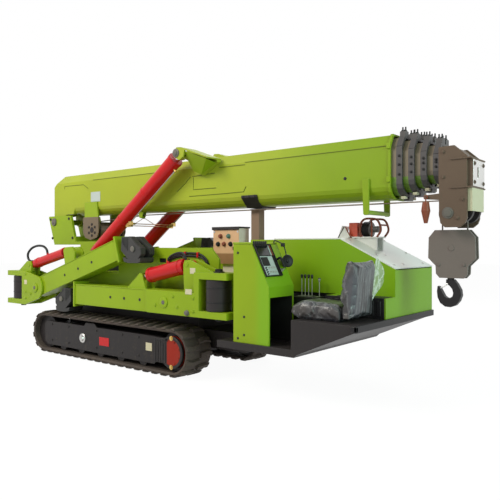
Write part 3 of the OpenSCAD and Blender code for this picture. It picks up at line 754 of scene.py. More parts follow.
TRACK_X, TRACK_Y, TRACK_Z = 1535, 600, 280
for side, hand in (("right", -1), ("left", 1)):
    middle = at(TRACK_X, hand * TRACK_Y, TRACK_Z)
    bm = bmesh.new()
    loops = []
    for i in range(BELT_STEPS):
        p, out, _ = on_loop(LOOP * i / BELT_STEPS)
        loops.append([middle + p + out * h + Vector((0, y, 0)) for y, h in BELT])
    rings(bm, loops + loops[:1], closed_ends=False)
    bmesh.ops.remove_doubles(bm, verts=bm.verts, dist=1e-6)
    belt = made("track_belt_" + side, bm, "chassis", rubber)
    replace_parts(belt, "track_" + side)
    points, outs, ways = [], [], []
    for row in (-1, 1):
        for i in range(LUGS_A_ROW):
            p, out, way = on_loop((i + 0.25 * row) * LOOP / LUGS_A_ROW, -0.001)
            points.append(middle + p + Vector((0, row * 0.1035, 0)))
            outs.append(out)
            ways.append(way * -row)
    o = lugs.grow("track_lugs_" + side, points, rubber, {"out": outs, "along": ways})
    hang(o, "chassis", rubber)
    print("track", side, ":", len(points), "lugs,", len(o.data.polygons), "faces")

# %% [markdown]
# The track frame carries a ribbed guard next to the drive, a round grey filler
# cap, two plain plates and its bolts. The drive cover has a dark rim, two lugs
# and its own bolts.

# %% Track frame fittings
FRAME_FACE = 746
DRIVE_X, DRIVE_Y, DRIVE_Z = 2790, 785, 280
bm_guard, bm_cap, bm_red, bm_pale = (bmesh.new() for _ in range(4))
spots = []
for hand, way in SIDES:
    y = hand * FRAME_FACE
    slab(bm_guard, (2520, 2724), (y, hand * 786), (150, 424))
    for x in (2524, 2564, 2604, 2644, 2684):
        slab(bm_guard, (x, x + 22), (hand * 780, hand * 793), (152, 422))
    slab(bm_guard, (2520, 2736), (hand * 736, hand * 790), (396, 428))
    side_cap(bm_cap, hand, 1120, FRAME_FACE, 269,
        [(0.060, -0.004), (0.060, 0.012), (0.053, 0.018), (0.036, 0.018), (0.031, 0.030), (0.014, 0.032)], 32)
    slab(bm_red, (1460, 1650), (y, hand * 749), (214, 318))
    slab(bm_pale, (2330, 2436), (y, hand * 749), (250, 342))
    spots += [((x, y - hand, z), way) for x in (420, 800, 1400, 1900, 2200) for z in (176, 388)]
made("track_guards", bm_guard, "chassis", frame_paint, bevel=0.004)
made("track_caps", bm_cap, "chassis", steel)
made("frame_plates_red", bm_red, "chassis", red, bevel=0.002)
made("frame_plates_pale", bm_pale, "chassis", cream, bevel=0.002)
bolt_group("track_frame_bolts", "chassis", spots, frame_paint, 0.011, 0.008)
spots, rim_spots = [], []
bm, bm_rim = bmesh.new(), bmesh.new()
for hand, way in SIDES:
    side_cap(bm_rim, hand, DRIVE_X, DRIVE_Y, DRIVE_Z,
        [(0.178, -0.026), (0.178, 0.0), (0.172, 0.005), (0.146, 0.005), (0.143, -0.003)], 48)
    rim_spots += [((DRIVE_X + 6, hand * (DRIVE_Y + 4), DRIVE_Z + dz), way) for dz in (-158, 158)]
    for k in (0, 1, 6, 7):
        a = math.radians(22.5 + 45 * k)
        spots.append(((DRIVE_X + 132 * math.cos(a), hand * DRIVE_Y, DRIVE_Z + 132 * math.sin(a)), way))
    for z in (104, 432):
        slab(bm, (2766, 2818), (hand * 748, hand * 776), (z, z + 26))
made("drive_cover_lugs", bm, "chassis", orange, bevel=0.004)
made("drive_cover_rims", bm_rim, "chassis", frame_paint)
bolt_group("drive_rim_bolts", "chassis", rim_spots, brass, 0.017, 0.010)
bolt_group("drive_cover_bolts", "chassis", spots, orange, 0.011, 0.010)
print("track frame fittings: guards, caps, plates, bolts")

# %% [markdown]
# The seat is two padded pieces, still in the clear film it was delivered in.
# Each pad starts from a copy of its solid, drawn in a little, and is blown up
# by a short cloth simulation, which gives the crowned faces and the soft
# edges. Sewn channels are pressed in afterwards, because a remesh would lose them.


# %% Seat pads
def seat_finish():
    f = Finish("film_on_black", Coat_Weight=0.2, Coat_Roughness=0.08)
    streak = f.noise(6.0, 4.0, 0.6, stretch=(1.0, 3.2, 0.35))
    crumple = f.noise(26.0, 5.0, 0.65)
    side = (-0.69 - f.axis("Y")).smooth(0.0, 0.03)
    # Painted highlights: the light streaks, the glare lines and the bright specks stand for the sheen of the
    # clear film over the black pads.
    glare = (1 - abs(streak - 0.5) * 18.0).clamp() * 0.4
    glint_specks = crumple.smooth(0.62, 0.70) * (side * 0.5 + 0.15)
    body = f.mix(streak.smooth(0.38, 0.62), (0.026, 0.024, 0.027), (0.072, 0.072, 0.088))
    body = f.mix(side * 0.8, body, f.mix(crumple, (0.024, 0.018, 0.016), (0.080, 0.062, 0.054)))
    body = f.mix((glare * (1 - side) + glint_specks).clamp(), body, (0.34, 0.34, 0.36))
    return f.done(body, (crumple * 0.25 + 0.24).clamp(), streak * 0.6 + crumple * 0.4, 0.5, 0.012)


def film_finish():
    f = Finish("clear_film", Coat_Weight=0.5, Coat_Roughness=0.08)
    folds = f.noise(16.0, 5.0, 0.6, stretch=(1.0, 1.6, 0.5))
    crease = (1 - abs(folds - 0.5) * 10.0).clamp()
    f.feed("Alpha", (crease * 0.4 + folds * 0.35 + 0.32).clamp())
    # Painted highlight: the creases are painted near white where the film catches the light.
    body = f.mix(crease, (0.60, 0.64, 0.52), (0.86, 0.88, 0.84))
    return f.done(body, folds * 0.2 + 0.12, folds, 0.4, 0.006)


film_black = seat_finish()
BLOW_FRAMES, PRESSURE, VOXEL = 20, 4.0, 0.008
BACK_LEAN, OVER = 0.07, 0.012


def back_line(z):
    """X station of the front of the seat back at a height in metres."""
    z = z * 1000
    if z < 960:
        return 4850 + 0.17 * (960 - z)
    return 4850 + 0.21 * (z - 960) if z < 1150 else 4890 + 0.39 * (z - 1150)


def pad(name, node, shrink, cap, channels, thin=1.0, tall=1.0):
    """A padded piece blown up from its solid; channels are rows of axis, place, width, depth and face."""
    low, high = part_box(node)
    middle = (low + high) / 2
    bm = bmesh.new()
    bm.from_mesh(nodes[node].data)
    bmesh.ops.remove_doubles(bm, verts=bm.verts, dist=1e-5)
    half = (high - low) / 2
    for v in bm.verts:
        v.co = middle + Vector([(v.co[i] - middle[i]) * (1 - shrink / half[i]) for i in range(3)])
        v.co.z = low.z + (v.co.z - low.z) * tall
        if thin < 1:
            line = at(back_line(v.co.z), 0, 0).x
            v.co.x = line + (v.co.x - line) * thin - BACK_LEAN * max(0.0, v.co.z - 0.96)
    mesh = bpy.data.meshes.new(name)
    bm.to_mesh(mesh)
    bm.free()
    o = placed(name, mesh)
    bpy.context.view_layer.objects.active = o
    m = o.modifiers.new("skin", "REMESH")
    m.mode = "VOXEL"
    m.voxel_size = VOXEL
    settle(o)
    start = [v.co.copy() for v in o.data.vertices]
    m = o.modifiers.new("blow", "CLOTH")
    m.settings.use_pressure = True
    m.settings.uniform_pressure_force = PRESSURE
    m.settings.effector_weights.gravity = 0.0
    m.settings.quality = 5
    m.point_cache.frame_start = 1
    m.point_cache.frame_end = BLOW_FRAMES
    scene = bpy.context.scene
    for k in range(1, BLOW_FRAMES + 1):
        scene.frame_set(k)
        bpy.context.view_layer.update()
    blown = settle(o)
    scene.frame_set(1)
    for v, s in zip(blown.vertices, start):
        move = v.co - s
        if move.length > cap:
            v.co = s + move * (cap / move.length)
    floor_z = low.z + 0.001
    for v in o.data.vertices:
        for axis, where, wide, deep, face in channels:
            d = abs(v.co[axis] - where) / wide
            if d < 1 and v.normal.dot(face) > 0.3:
                v.co -= face * deep * (1 - d * d) ** 2
        v.co.z = max(v.co.z, floor_z)
        for i in range(3):
            v.co[i] = min(max(v.co[i], low[i] - OVER), high[i] + OVER)
    m = o.modifiers.new("round", "SUBSURF")
    m.levels = 1
    m.render_levels = 1
    hang(o, "chassis", film_black)
    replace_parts(o, node)
    print(name, len(o.data.vertices), "points")
    return o


up, forward = Vector((0, 0, 1)), Vector((-1, 0, 0))
pad("seat_pad", "seat_cushion", 0.016, 0.026,
    [(1, -0.66, 0.016, 0.012, up), (1, -0.362, 0.016, 0.012, up), (0, at(4560, 0, 0).x, 0.014, 0.009, up)])
pad("back_pad", "seat_back", 0.016, 0.026, [(1, -0.66, 0.016, 0.012, forward),
    (1, -0.362, 0.016, 0.012, forward), (2, 1.12, 0.014, 0.009, forward)], thin=0.72, tall=1.02)

# %% [markdown]
# The film is cut wider than the back, so its far side hangs loose. That lobe is
# one sheet: its edge follows the back and its other edge bows out, with a few
# slow waves.

# %% Loose film
ROWS, COLUMNS = 36, 14
verts, faces = [], []
for i in range(ROWS):
    t = i / (ROWS - 1)
    z = 930 + 415 * t
    edge = back_line(z / 1000) + 72 - BACK_LEAN * (z - 960)
    reach = 128 * math.sin(math.pi * (0.03 + 0.95 * t)) ** 0.8
    for j in range(COLUMNS):
        u = j / (COLUMNS - 1)
        wave = 7 * math.sin(9 * t + 3 * u) * u + 4 * math.sin(17 * t - 5 * u) * u
        verts.append(at(edge + reach * u * 0.62 + wave,
            -312 + reach * (0.78 * u + 0.1 * math.sin(math.pi * u)), z))
for i in range(ROWS - 1):
    for j in range(COLUMNS - 1):
        a = i * COLUMNS + j
        faces.append((a, a + 1, a + COLUMNS + 1, a + COLUMNS))
mesh = bpy.data.meshes.new("seat_film")
mesh.from_pydata([tuple(v) for v in verts], [], faces)
film = placed("seat_film", mesh)
hang(film, "chassis", film_finish())
print("loose film:", len(faces), "faces")

# %% [markdown]
# The console carries a dark instrument frame on its sloped face. A frame of
# reference on the slope, with u down the face, v across it and n out of it,
# keeps the numbers simple: a row of lamps on the upper edge, a display, a pale
# switch plate below it, a lock and a grab handle. The lever bank stands beside
# it, with five slim levers.

# %% Console
FACE_X, CONSOLE_Y, FACE_Z = 3933, -595, 1463
DOWN, AHEAD = 0.8891, 0.4577


def slope(u, v, n):
    return at(FACE_X + AHEAD * u + DOWN * n, CONSOLE_Y + v, FACE_Z - DOWN * u + AHEAD * n)


def slope_plate(bm, u0, u1, v0, v1, n0, n1):
    corners = [slope(u, v, n0) for u, v in ((u0, v0), (u1, v0), (u1, v1), (u0, v1))]
    plate(bm, corners, slope(u0, v0, n1) - slope(u0, v0, n0))


def on_slope(bm, u, v, n, profile, count=16):
    turned(bm, slope(u, v, n), OUT["slope"], profile, count)


OUT["slope"] = (slope(0, 0, 1) - slope(0, 0, 0)).normalized()
bm = bmesh.new()
for edges in ((4, 352, -192, -184), (4, 352, 62, 70), (4, 14, -184, 62), (342, 352, -184, 62)):
    slope_plate(bm, *edges, 0.5, 22)
slope_plate(bm, 14, 342, -184, 62, 0.5, 8)
for k in range(7):
    top = slope(-4, -176 + 32 * k, 0)
    turned(bm, top, Vector((0.25, 0, 1)),
        [(0.013, -0.012), (0.014, 0.004), (0.010, 0.012), (0.009, 0.028), (0.006, 0.031)], 16)
frame_piece = made("instrument_frame", bm, "chassis", black, bevel=0.003)
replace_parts(frame_piece, "console_panel")
for name, finish, slot, rows in (
    ("instrument_display", glass, "black", [(16, 128, -180, 8, 8, 12)]),
    ("switch_plate", pale_plate, "white", [(16, 128, 12, 30, 8, 15), (134, 340, -180, 20, 8, 13)]),
    ("fuse_strip", brick, "orange", [(16, 128, 36, 58, 8, 15)]),
):
    bm = bmesh.new()
    for row in rows:
        slope_plate(bm, *row)
    made(name, bm, "chassis", finish, bevel=0.002)
bm = bmesh.new()
slope_plate(bm, 146, 240, -170, -60, 13, 16)
for k in range(4):
    on_slope(bm, 262 + 22 * k, -150, 13, [(0.008, 0), (0.008, 0.006), (0.005, 0.012), (0.004, 0.016)], 16)
for k in range(5):
    on_slope(bm, 28, -160 + 38 * k, 12, [(0.011, 0), (0.012, 0.01), (0.009, 0.018), (0.006, 0.02)], 16)
made("switch_strip", bm, "chassis", plastic, bevel=0.0015)
bm = bmesh.new()
for u in (262, 306):
    for v in (-100, -60, -20):
        on_slope(bm, u, v, 13,
            [(0.010, 0), (0.010, 0.003), (0.006, 0.004), (0.005, 0.014), (0.003, 0.015)], 18)
made("toggle_switches", bm, "chassis", steel)
bm = bmesh.new()
on_slope(bm, 290, 104, 0.5, [(0.020, 0), (0.020, 0.006), (0.014, 0.008), (0.012, 0.022), (0.009, 0.024)], 24)
slope_plate(bm, 286, 294, 92, 116, 24, 42)
made("key_switch", bm, "chassis", steel, bevel=0.001)
bm = bmesh.new()
tube(bm, [slope(170, 100, 0), slope(170, 100, 40), slope(190, 100, 52), slope(280, 100, 52)], 0.011, 12)
bar(bm, at(4030, -420, 1440), at(4030, -420, 1478), 0.022)
made("grab_handle", bm, "chassis", plastic)
bm = bmesh.new()
tube(bm, [at(3925, -425, 1462), at(3925, -425, 1500), at(3970, -422, 1492), at(4030, -420, 1462),
    at(4062, -420, 1400), at(4078, -420, 1318)], 0.006, 10)
made("horn_stalk", bm, "chassis", plastic)
bm = bmesh.new()
turned(bm, at(4076, -420, 1296), Vector((1, -0.45, 0.15)),
    [(0.020, -0.03), (0.034, -0.022), (0.038, 0.0), (0.060, 0.012), (0.064, 0.022), (0.060, 0.028),
    (0.046, 0.02), (0.020, 0.018), (0.012, 0.03), (0.004, 0.032)], 32)
made("horn", bm, "chassis", plastic)
bm = bmesh.new()
for hand in (-1, 1):
    y = CONSOLE_Y + hand * 195
    bar(bm, at(3700, y, 1474), at(3936, y, 1474), 0.011)
bar(bm, at(3704, -800, 1474), at(3704, -390, 1474), 0.011)
made("console_rail", bm, "chassis", green)
low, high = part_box("levers")
bm = bmesh.new()
block(bm, low, Vector((high.x, high.y, 0.932)))
for x, top in ((4078, 1120), (4120, 1120), (4162, 1120), (4204, 1120), (4292, 1090)):
    bar(bm, at(x, -150, 928), at(x, -150, top), 0.005, 12)
    turned(bm, at(x, -150, top - 8), OUT["up"],
        [(0.006, 0), (0.010, 0.006), (0.014, 0.028), (0.013, 0.038), (0.007, 0.043)], 20)
for x0, x1 in ((4060, 4222), (4260, 4300)):
    slab(bm, (x0, x1), (-200, -104), (930, 936))
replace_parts(made("lever_rods", bm, "chassis", lever_bank, bevel=0.0015), "levers")
spots = [((x, -800.5, z), "near") for x, z in ((3839, 755), (3839, 579), (3760, 1380), (3760, 540))]
bolt_group("console_bolts", "chassis", spots, dark, 0.008, 0.007)
print("console: frame, display, switches, key, handle, horn, rail")

# %% [markdown]
# The control box on the chassis has two rows of knobs on its near face, a dark
# lid with a lip, and corner screws.

# %% Control box
knobs = Rule("control_knobs", Radius=0.021, Height=0.026)
wide, tall = knobs.size("Radius"), knobs.size("Height")
parts = [knobs.stub(28, wide * 1.35, -0.001, tall * 0.2), knobs.stub(14, wide, tall * 0.2, tall * 0.8),
    knobs.stub(28, wide * 0.82, tall * 0.8, tall)]
knobs.plant(knobs.node("GeometryNodeJoinGeometry", None, {"Geometry": parts}))
for name, finish, slot, spots in (
    ("knobs_brown", brick, "orange", [(2911, 1560), (2965, 1468)]),
    ("knobs_green", teal, "paint", [(3034, 1560)]),
    ("knobs_black", plastic, "plastic", [(2872, 1468), (3065, 1468)]),
):
    o = knobs.grow(name, [at(x, -110.5, z) for x, z in spots], finish, {"out": [OUT["near"]] * len(spots)})
    hang(o, "chassis", finish)
bm = bmesh.new()
slab(bm, (2783, 3201), (-126, 82), (1650, 1668))
slab(bm, (2783, 3201), (-126, -118), (1632, 1652))
slab(bm, (3100, 3150), (-119, -108), (1400, 1440))
made("control_lid", bm, "chassis", dark, bevel=0.004)
spots = [((x, -110.5, z), "near") for x in (2812, 3172) for z in (1258, 1610)]
bolt_group("control_box_screws", "chassis", spots, steel, 0.008, 0.006)
print("control box: 5 knobs, lid, screws")

# %% [markdown]
# The reel unit on the hood stands inside a guard of bent tube: two hoops and
# cross bars, with the wire wound on the drum. The winding is a rule that turns
# one spiral, so the number of turns is a size and not a drawing.

# %% Reel guard
HOOP = [
    (4566, 1540), (4556, 1600), (4563, 1676), (4606, 1722), (4680, 1727), (4745, 1714), (4780, 1660),
    (4788, 1600), (4748, 1540),
]
NEAR_HOOP, FAR_HOOP = 214, 386


def winding(name, rule_name, start, way, body, finish, slot, turns, detail, **sizes):
    """One length of wire or rope wound on a drum, from its start along the drum's axis."""
    rule = Rule(rule_name, **sizes)
    thick, inside, long = rule.size("Radius"), rule.size("Inside"), rule.size("Length")
    spiral = rule.node("GeometryNodeCurveSpiral", None, {
        "Resolution": detail, "Rotations": turns, "Height": long,
        "Start Radius": inside, "End Radius": inside,
    })
    round_bar = rule.node("GeometryNodeCurvePrimitiveCircle", None, {"Resolution": 8, "Radius": thick})
    coil = {"Curve": spiral, "Profile Curve": round_bar, "Fill Caps": True}
    rule.plant(rule.node("GeometryNodeCurveToMesh", None, coil))
    hang(rule.grow(name, [at(*start)], finish, {"out": [OUT[way]]}), body, finish)


bm = bmesh.new()
for y in (NEAR_HOOP, FAR_HOOP):
    tube(bm, [at(x, y, z) for x, z in HOOP], 0.011, 12)
for x, z in HOOP[2:7:2]:
    bar(bm, at(x, NEAR_HOOP, z), at(x, FAR_HOOP, z), 0.009, 12)
tube(bm, [at(4680, NEAR_HOOP, 1727), at(4692, 206, 1660), at(4690, 210, 1541)], 0.009, 12)
made("reel_guard", bm, "chassis", brick)
bm = bmesh.new()
tube(bm, [at(4300, 199, 1529), at(4340, 199, 1592), at(4380, 199, 1654)], 0.004, 8)
tube(bm, [at(4448, 206, 1534), at(4440, 190, 1531), at(4446, 160, 1529)], 0.004, 8)
made("reel_wires", bm, "chassis", plastic)
bm = bmesh.new()
side_plate(bm, [(4380, 1654), (4391, 1651), (4468, 1530), (4454, 1530)], 197, 0.004)
made("flap_edge", bm, "chassis", brick)
bm = bmesh.new()
side_plate(bm, ((4300, 1528), (4380, 1654), (4391, 1651), (4468, 1528)), 201, 0.005)
made("hood_flap", bm, "chassis", white, bevel=0.001)
winding(
    "reel_winding", "wound_wire", (4565, 300, 1620), "front", "chassis", plastic, "plastic",
    turns=6.0, detail=28, Radius=0.006, Inside=0.074, Length=0.080)
OUT["cover"] = Vector((0.436, 0, 0.9))
cover_spots = [(4540, 800, 1502.5), (4810, 768, 1371), (4830, 30, 1361), (4838, 210, 1357.5),
    (5024, 18, 1267), (5018, 234, 1270), (4540, 30, 1502.5), (5024, 700, 1267)]
bolt_group("hood_cover_bolts", "chassis", [(p, "cover") for p in cover_spots], steel, 0.010, 0.008)
print("reel: guard, wires, winding; cover bolts")

# %% [markdown]
# The boom is welded from pressed plates, and the seams show as thin raised
# lines on its sides. Each seam is a slim bar laid on the plate. A blank plate
# sits near the tail, small blocks stiffen the front flange, and folded plates
# close the boxes that hold the lifting cylinders.

# %% Boom seams and plates
SEAMS = [
    [(-100, 2284), (-100, 2324), (362, 2320), (474, 2259)],
    [(589, 2371), (2101, 2371)],
    [(2548, 2275), (2908, 2289)],
    [(2980, 2347), (3364, 2347)],
    [(2497, 2040), (3054, 2043), (3344, 2048), (3378, 2106)],
    [(2565, 2264), (2565, 2118), (2929, 2116)],
    [(2516, 2277), (2426, 2200), (2286, 2109)],
    [(3364, 2372), (5070, 2372)],
]
EAR_FOLD = [(2615, 430, 2556), (2985, 430, 2424), (2760, 272, 2278), (2630, 272, 2330), (2985, 272, 2394)]
BOOM_SIDE, EAR_SIDE, PIN_X, PIN_Z = 211, 444, 2510, 2530
bm_seam, bm_label, bm_block = (bmesh.new() for _ in range(3))
for hand in (-1, 1):
    y = hand * BOOM_SIDE
    for row in SEAMS:
        tube(bm_seam, [at(x, y, z) for x, z in row], 0.0045, 8, bend=False)
    slab(bm_label, (540, 756), (y, hand * 213), (2064, 2202))
    for z in (2036, 2345):
        slab(bm_block, (5064, 5104), (hand * 205, hand * 232), (z, z + 52))
    fold = [at(px, hand * py, pz) for px, py, pz in EAR_FOLD]
    for corners in ((0, 1, 2), (0, 2, 3), (1, 4, 2)):
        plate(bm_block, [fold[i] for i in corners], Vector((0, hand * 0.005, -0.003)))
made("boom_seams", bm_seam, "boom", weld)
made("boom_label_plates", bm_label, "boom", pale_plate, bevel=0.002)
made("boom_stiffeners", bm_block, "boom", green, bevel=0.003)
spots = []
for hand, way in SIDES:
    spots += [((x, hand * 228.5, 1990), way) for x in (3350, 3430, 3510)]
    spots += [((4623, hand * 210.5, 2102), way)]
    spots += [((PIN_X + 34 * math.cos(a), hand * (EAR_SIDE + 0.5), PIN_Z + 34 * math.sin(a)), way)
        for a in (0.6, 2.2, 3.7, 5.3)]
bolt_group("boom_bolts", "boom", spots, dark, 0.010, 0.008)
bm = bmesh.new()
for hand in (-1, 1):
    side_cap(bm, hand, PIN_X, EAR_SIDE, PIN_Z,
        [(0.052, -0.002), (0.052, 0.008), (0.044, 0.012), (0.030, 0.012), (0.026, 0.022), (0.008, 0.024)], 28)
made("upper_pin_caps", bm, "boom", pin_grey)
print("boom:", len(SEAMS), "seams a side, plates, folds, bolts")

# %% [markdown]
# The hoist rope is wound on the drum, runs forward under the boom and goes
# over the sheaves of the head. It is held taut, so it is rigid here. Each boom
# section carries its own length of it on the same line, which keeps the rope
# whole when the sections slide out.

# %% Hoist rope
rope = metal_finish("wire_rope", (0.22, 0.17, 0.13), 0.55, marks=0.3, tarnish=(0.10, 0.075, 0.055),
    spread=0.6)
WINCH_X, WINCH_Z = 600, 1668
winding(
    "drum_rope", "wound_rope", (WINCH_X, -176, WINCH_Z), "far", "winch", rope, "steel",
    turns=22.0, detail=32, Radius=0.008, Inside=0.1075, Length=0.352)
ROPE_Y, ROPE_Z = -90, 1850
bm = bmesh.new()
tube(bm, [at(606, ROPE_Y, 1792), at(1484, ROPE_Y, 1845)], 0.007, 10)
tube(bm, [at(1484, ROPE_Y, 1845), at(1516, ROPE_Y, ROPE_Z), at(5098, ROPE_Y, ROPE_Z)], 0.007, 10, bend=False)
made("boom_rope", bm, "boom", rope)
bm = bmesh.new()
for y in (-116, -64):
    side_plate(bm, ((1450, 1890), (1550, 1890), (1530, 1826), (1515, 1812), (1485, 1812), (1470, 1826)),
        y - 4, 0.008)
bar(bm, at(1500, -112, 1826), at(1500, -68, 1826), 0.016)
made("rope_guide", bm, "boom", green, bevel=0.002)
sliding = [j for j in frame["joints"] if j["type"] == "slide" and j.get("range_m")]
slides = {j["name"]: j["range_m"][1] * 1000 for j in sliding}
for k, front in collar_fronts.items():
    slide = slides[f"extend_{k}"]
    bm = bmesh.new()
    bar(bm, at(front - slide - 140, ROPE_Y, ROPE_Z), at(front if k < 5 else 5612, ROPE_Y, ROPE_Z),
        0.0066 - 0.0002 * k, 10)
    made(f"rope_{k}", bm, f"section_{k}", rope)
print("rope: winding, run under the boom, 4 sliding lengths")

# %% [markdown]
# Each collar of the telescope has bolts on its sides, studs on the two blocks
# at the top and pale sliding pads at the bottom.

# %% Telescope collars
for k, front in collar_fronts.items():
    half, lift = 210 - 16 * (k - 1), 32 * (k - 1)
    spots = []
    for hand, way in SIDES:
        spots += [((front - 28, hand * (half + 12.5), z), way)
            for z in (2085 + lift * 0.5, 2190, 2290 - lift * 0.6)]
        spots += [((front - x, hand * (half - 100 + dy), 2478 - lift + 60), "up") for x in (16, 40)
            for dy in (-20, 20)]
    bolt_group(f"collar_bolts_{k}", f"section_{k}", spots, dark, 0.008, 0.014)
    bm_stud, bm_pad = bmesh.new(), bmesh.new()
    for hand in (-1, 1):
        for x in (14, 42):
            low, high = (at(front - x, hand * (half - 100), 2478 - lift + z) for z in (58, 104))
            bar(bm_stud, low, high, 0.007, 10)
        slab(bm_stud, (front - 54, front - 4), (hand * half - 10, hand * half + 10),
            (2335 - lift, 2395 - lift))
        y = hand * (half - 96)
        slab(bm_pad, (front - 50, front - 6), (y - 26, y + 26), (1885 + lift - 34, 1885 + lift - 8))
    made(f"collar_studs_{k}", bm_stud, f"section_{k}", dark, bevel=0.0015)
    made(f"sliding_pads_{k}", bm_pad, f"section_{k}", cream, bevel=0.003)
print("collars: bolts, studs, pads")

# %% [markdown]
# The head ends in a bright slotted plate. Below it a flat guard keeps the rope
# in the sheave grooves, and large washers hold the sheave pin.

# %% Boom head and hook
bm = bmesh.new()
for y0, y1, z0, z1 in ((-146, -44, 1962, 2188), (-8, 146, 1962, 2188), (-44, -8, 1962, 2040),
        (-44, -8, 2128, 2188)):
    slab(bm, (5822, 5826), (y0, y1), (z0, z1))
made("head_plate", bm, "section_5", bright, bevel=0.001)
bm = bmesh.new()
slab(bm, (5814, 5819), (-150, 150), (1748, 1954))
for y in (-150, 145):
    slab(bm, (5772, 5816), (y, y + 5), (1748, 1954))
made("rope_guard", bm, "section_5", cream, bevel=0.001)
bm = bmesh.new()
for hand in (-1, 1):
    side_cap(bm, hand, 5616, 175, 1736,
        [(0.050, -0.001), (0.050, 0.006), (0.036, 0.007), (0.034, 0.016), (0.010, 0.018)], 28)
made("sheave_pin_caps", bm, "section_5", pin_grey)
CHEEK_BOLTS = ((5700, 1690), (5745, 1850), (5575, 2270), (5575, 2050))
spots = [((x, hand * 175.5, z), way) for hand, way in SIDES for x, z in CHEEK_BOLTS]
spots += [((5826, y, z), "front") for y in (-115, 115) for z in (1995, 2155)]
bolt_group("head_bolts", "section_5", spots, taupe, 0.012, 0.010)
spots = [((x, hand * 46.5, 1283), way) for hand, way in SIDES for x in (5488, 5712)]
bolt_group("hook_block_bolts", "hook_hang", spots, block_grey, 0.011, 0.008)
bm = bmesh.new()
tongue = [(5548, 1108), (5566, 1112), (5480, 1056), (5472, 1066)]
side_plate(bm, tongue, -17, 0.034)
bar(bm, at(5556, -30, 1108), at(5556, 30, 1108), 0.009)
made("hook_latch", bm, "hook", bright, bevel=0.002)
print("head: plate, guard, caps; hook: latch")

# %% [markdown]
# The lifting cylinders carry hard pipes and brass fittings. A frame of
# reference on the cylinder, with s along it and n square to it, gives the
# places: clamping bands round the barrel, a pipe below it, and two copper
# lines that join the fittings of both sides.

# %% Lifting cylinder lines
FOOT_X, BARREL_Y, FOOT_Z = 895, 372, 1362
RUN, RISE = 0.8103, 0.5860
CROSS_LINES = ((735, -108), (790, -118))
ELBOW = [(0.008, -0.012), (0.015, -0.01), (0.015, 0.02), (0.010, 0.022), (0.010, 0.05), (0.006, 0.052)]
PIPE_RUN = ((760, -104), (1200, -103), (1700, -103), (1790, -101), (1806, -86))
SAG_RUN = ((760, -100, 90), (785, -60, 180), (800, -30, 260), (790, -70, 340), (770, -112, 430))


def on_barrel(hand, s, n=0.0, y=0.0):
    return at(FOOT_X + RUN * s - RISE * n, hand * BARREL_Y + y, FOOT_Z + RISE * s + RUN * n)


copper = metal_finish("copper_line", (0.50, 0.25, 0.12), 0.35, tarnish=(0.25, 0.12, 0.06))
along = Vector((RUN, 0, RISE))
bm_band, bm_pipe, bm_brass, bm_wire = (bmesh.new() for _ in range(4))
for hand in (-1, 1):
    for s, w in ((700, 0.022), (1250, 0.022), (1862, 0.038)):
        turned(bm_band, on_barrel(hand, s), along,
            [(0.0885, 0), (0.0945, 0.001), (0.0945, w - 0.001), (0.0885, w)], 48)
    tube(bm_pipe, [on_barrel(hand, s, n) for s, n in PIPE_RUN], 0.007, 10)
    for s in (760, 1806):
        turned(bm_brass, on_barrel(hand, s, -86), on_barrel(hand, s, -90) - on_barrel(hand, s, -86),
            [(0.020, 0), (0.020, 0.014), (0.014, 0.016), (0.014, 0.034), (0.010, 0.036)], 6)
    for s, n in CROSS_LINES:
        turned(bm_brass, on_barrel(hand, s, n, -hand * 60), Vector((0, hand, 0)), ELBOW, 6)
        p = on_barrel(hand, s, n)
        block(bm_brass, p - Vector((0.02, 0.024, 0.018)), p + Vector((0.02, 0.024, 0.03)))
for s, n in CROSS_LINES:
    tube(bm_wire, [on_barrel(-1, s, n), on_barrel(-1, s, n, 200), on_barrel(1, s, n, -200),
        on_barrel(1, s, n)], 0.0055, 10, bend=False)
tube(bm_wire, [on_barrel(-1, *p) for p in SAG_RUN], 0.004, 8)
made("barrel_bands", bm_band, "luff_barrel", red)
made("barrel_pipes", bm_pipe, "luff_barrel", steel)
made("barrel_fittings", bm_brass, "luff_barrel", brass, bevel=0.001)
made("cross_lines", bm_wire, "luff_barrel", copper)
bm = bmesh.new()
for hand in (-1, 1):
    side_cap(bm, hand, FOOT_X, 424, FOOT_Z,
        [(0.044, -0.002), (0.044, 0.008), (0.026, 0.009), (0.022, 0.018), (0.006, 0.02)])
    side_cap(bm, hand, -293, 275, 1800,
        [(0.056, -0.014), (0.056, 0.002), (0.048, 0.006), (0.024, 0.006), (0.020, 0.014), (0.006, 0.016)], 28)
made("turntable_pin_caps", bm, "turntable", pin_grey)
spots = []
for i in range(24):
    a = math.radians(7.5 + 15 * i)
    x, y = 700 + 430 * math.cos(a), 430 * math.sin(a)
    if not (780 < x < 1010 and abs(y) > 270):
        spots.append(((x, y, 1244.3), "up"))
CHEEK_SPOTS = ((-395, 1840), (-340, 1560), (170, 1560), (80, 1840))
spots += [((x, hand * 260.5, z), way) for hand, way in SIDES for x, z in CHEEK_SPOTS]
bolt_group("turntable_bolts", "turntable", spots, dark, 0.013, 0.012)
bm = bmesh.new()
cover = [(392, 1640), (392, 1848), (745, 1848), (750, 1640), (715, 1562), (570, 1526), (440, 1562)]
for hand in (-1, 1):
    side_plate(bm, cover, hand * 232, hand * 0.006)
made("winch_covers", bm, "boom", winch_plate, bevel=0.002)
spots = []
for hand, way in SIDES:
    for i in range(6):
        a = math.radians(30 + 60 * i)
        spots.append(((WINCH_X + 78 * math.cos(a), hand * 238.5, WINCH_Z + 78 * math.sin(a)), way))
bolt_group("winch_bolts", "boom", spots, dark, 0.012, 0.010)
print("cylinder lines, pin caps, turntable and winch bolts")

# %% [markdown]
# The four outriggers share one set of details. A small class knows the place
# of each one and turns a point along the arm or along the cylinder into a point
# of the frame, for the level front arms and the rising rear arms alike.


# %% Outrigger fittings
POST_Y = 680
FOOT_SEAM = ((-50, 140), (48, 60), (132, 8))


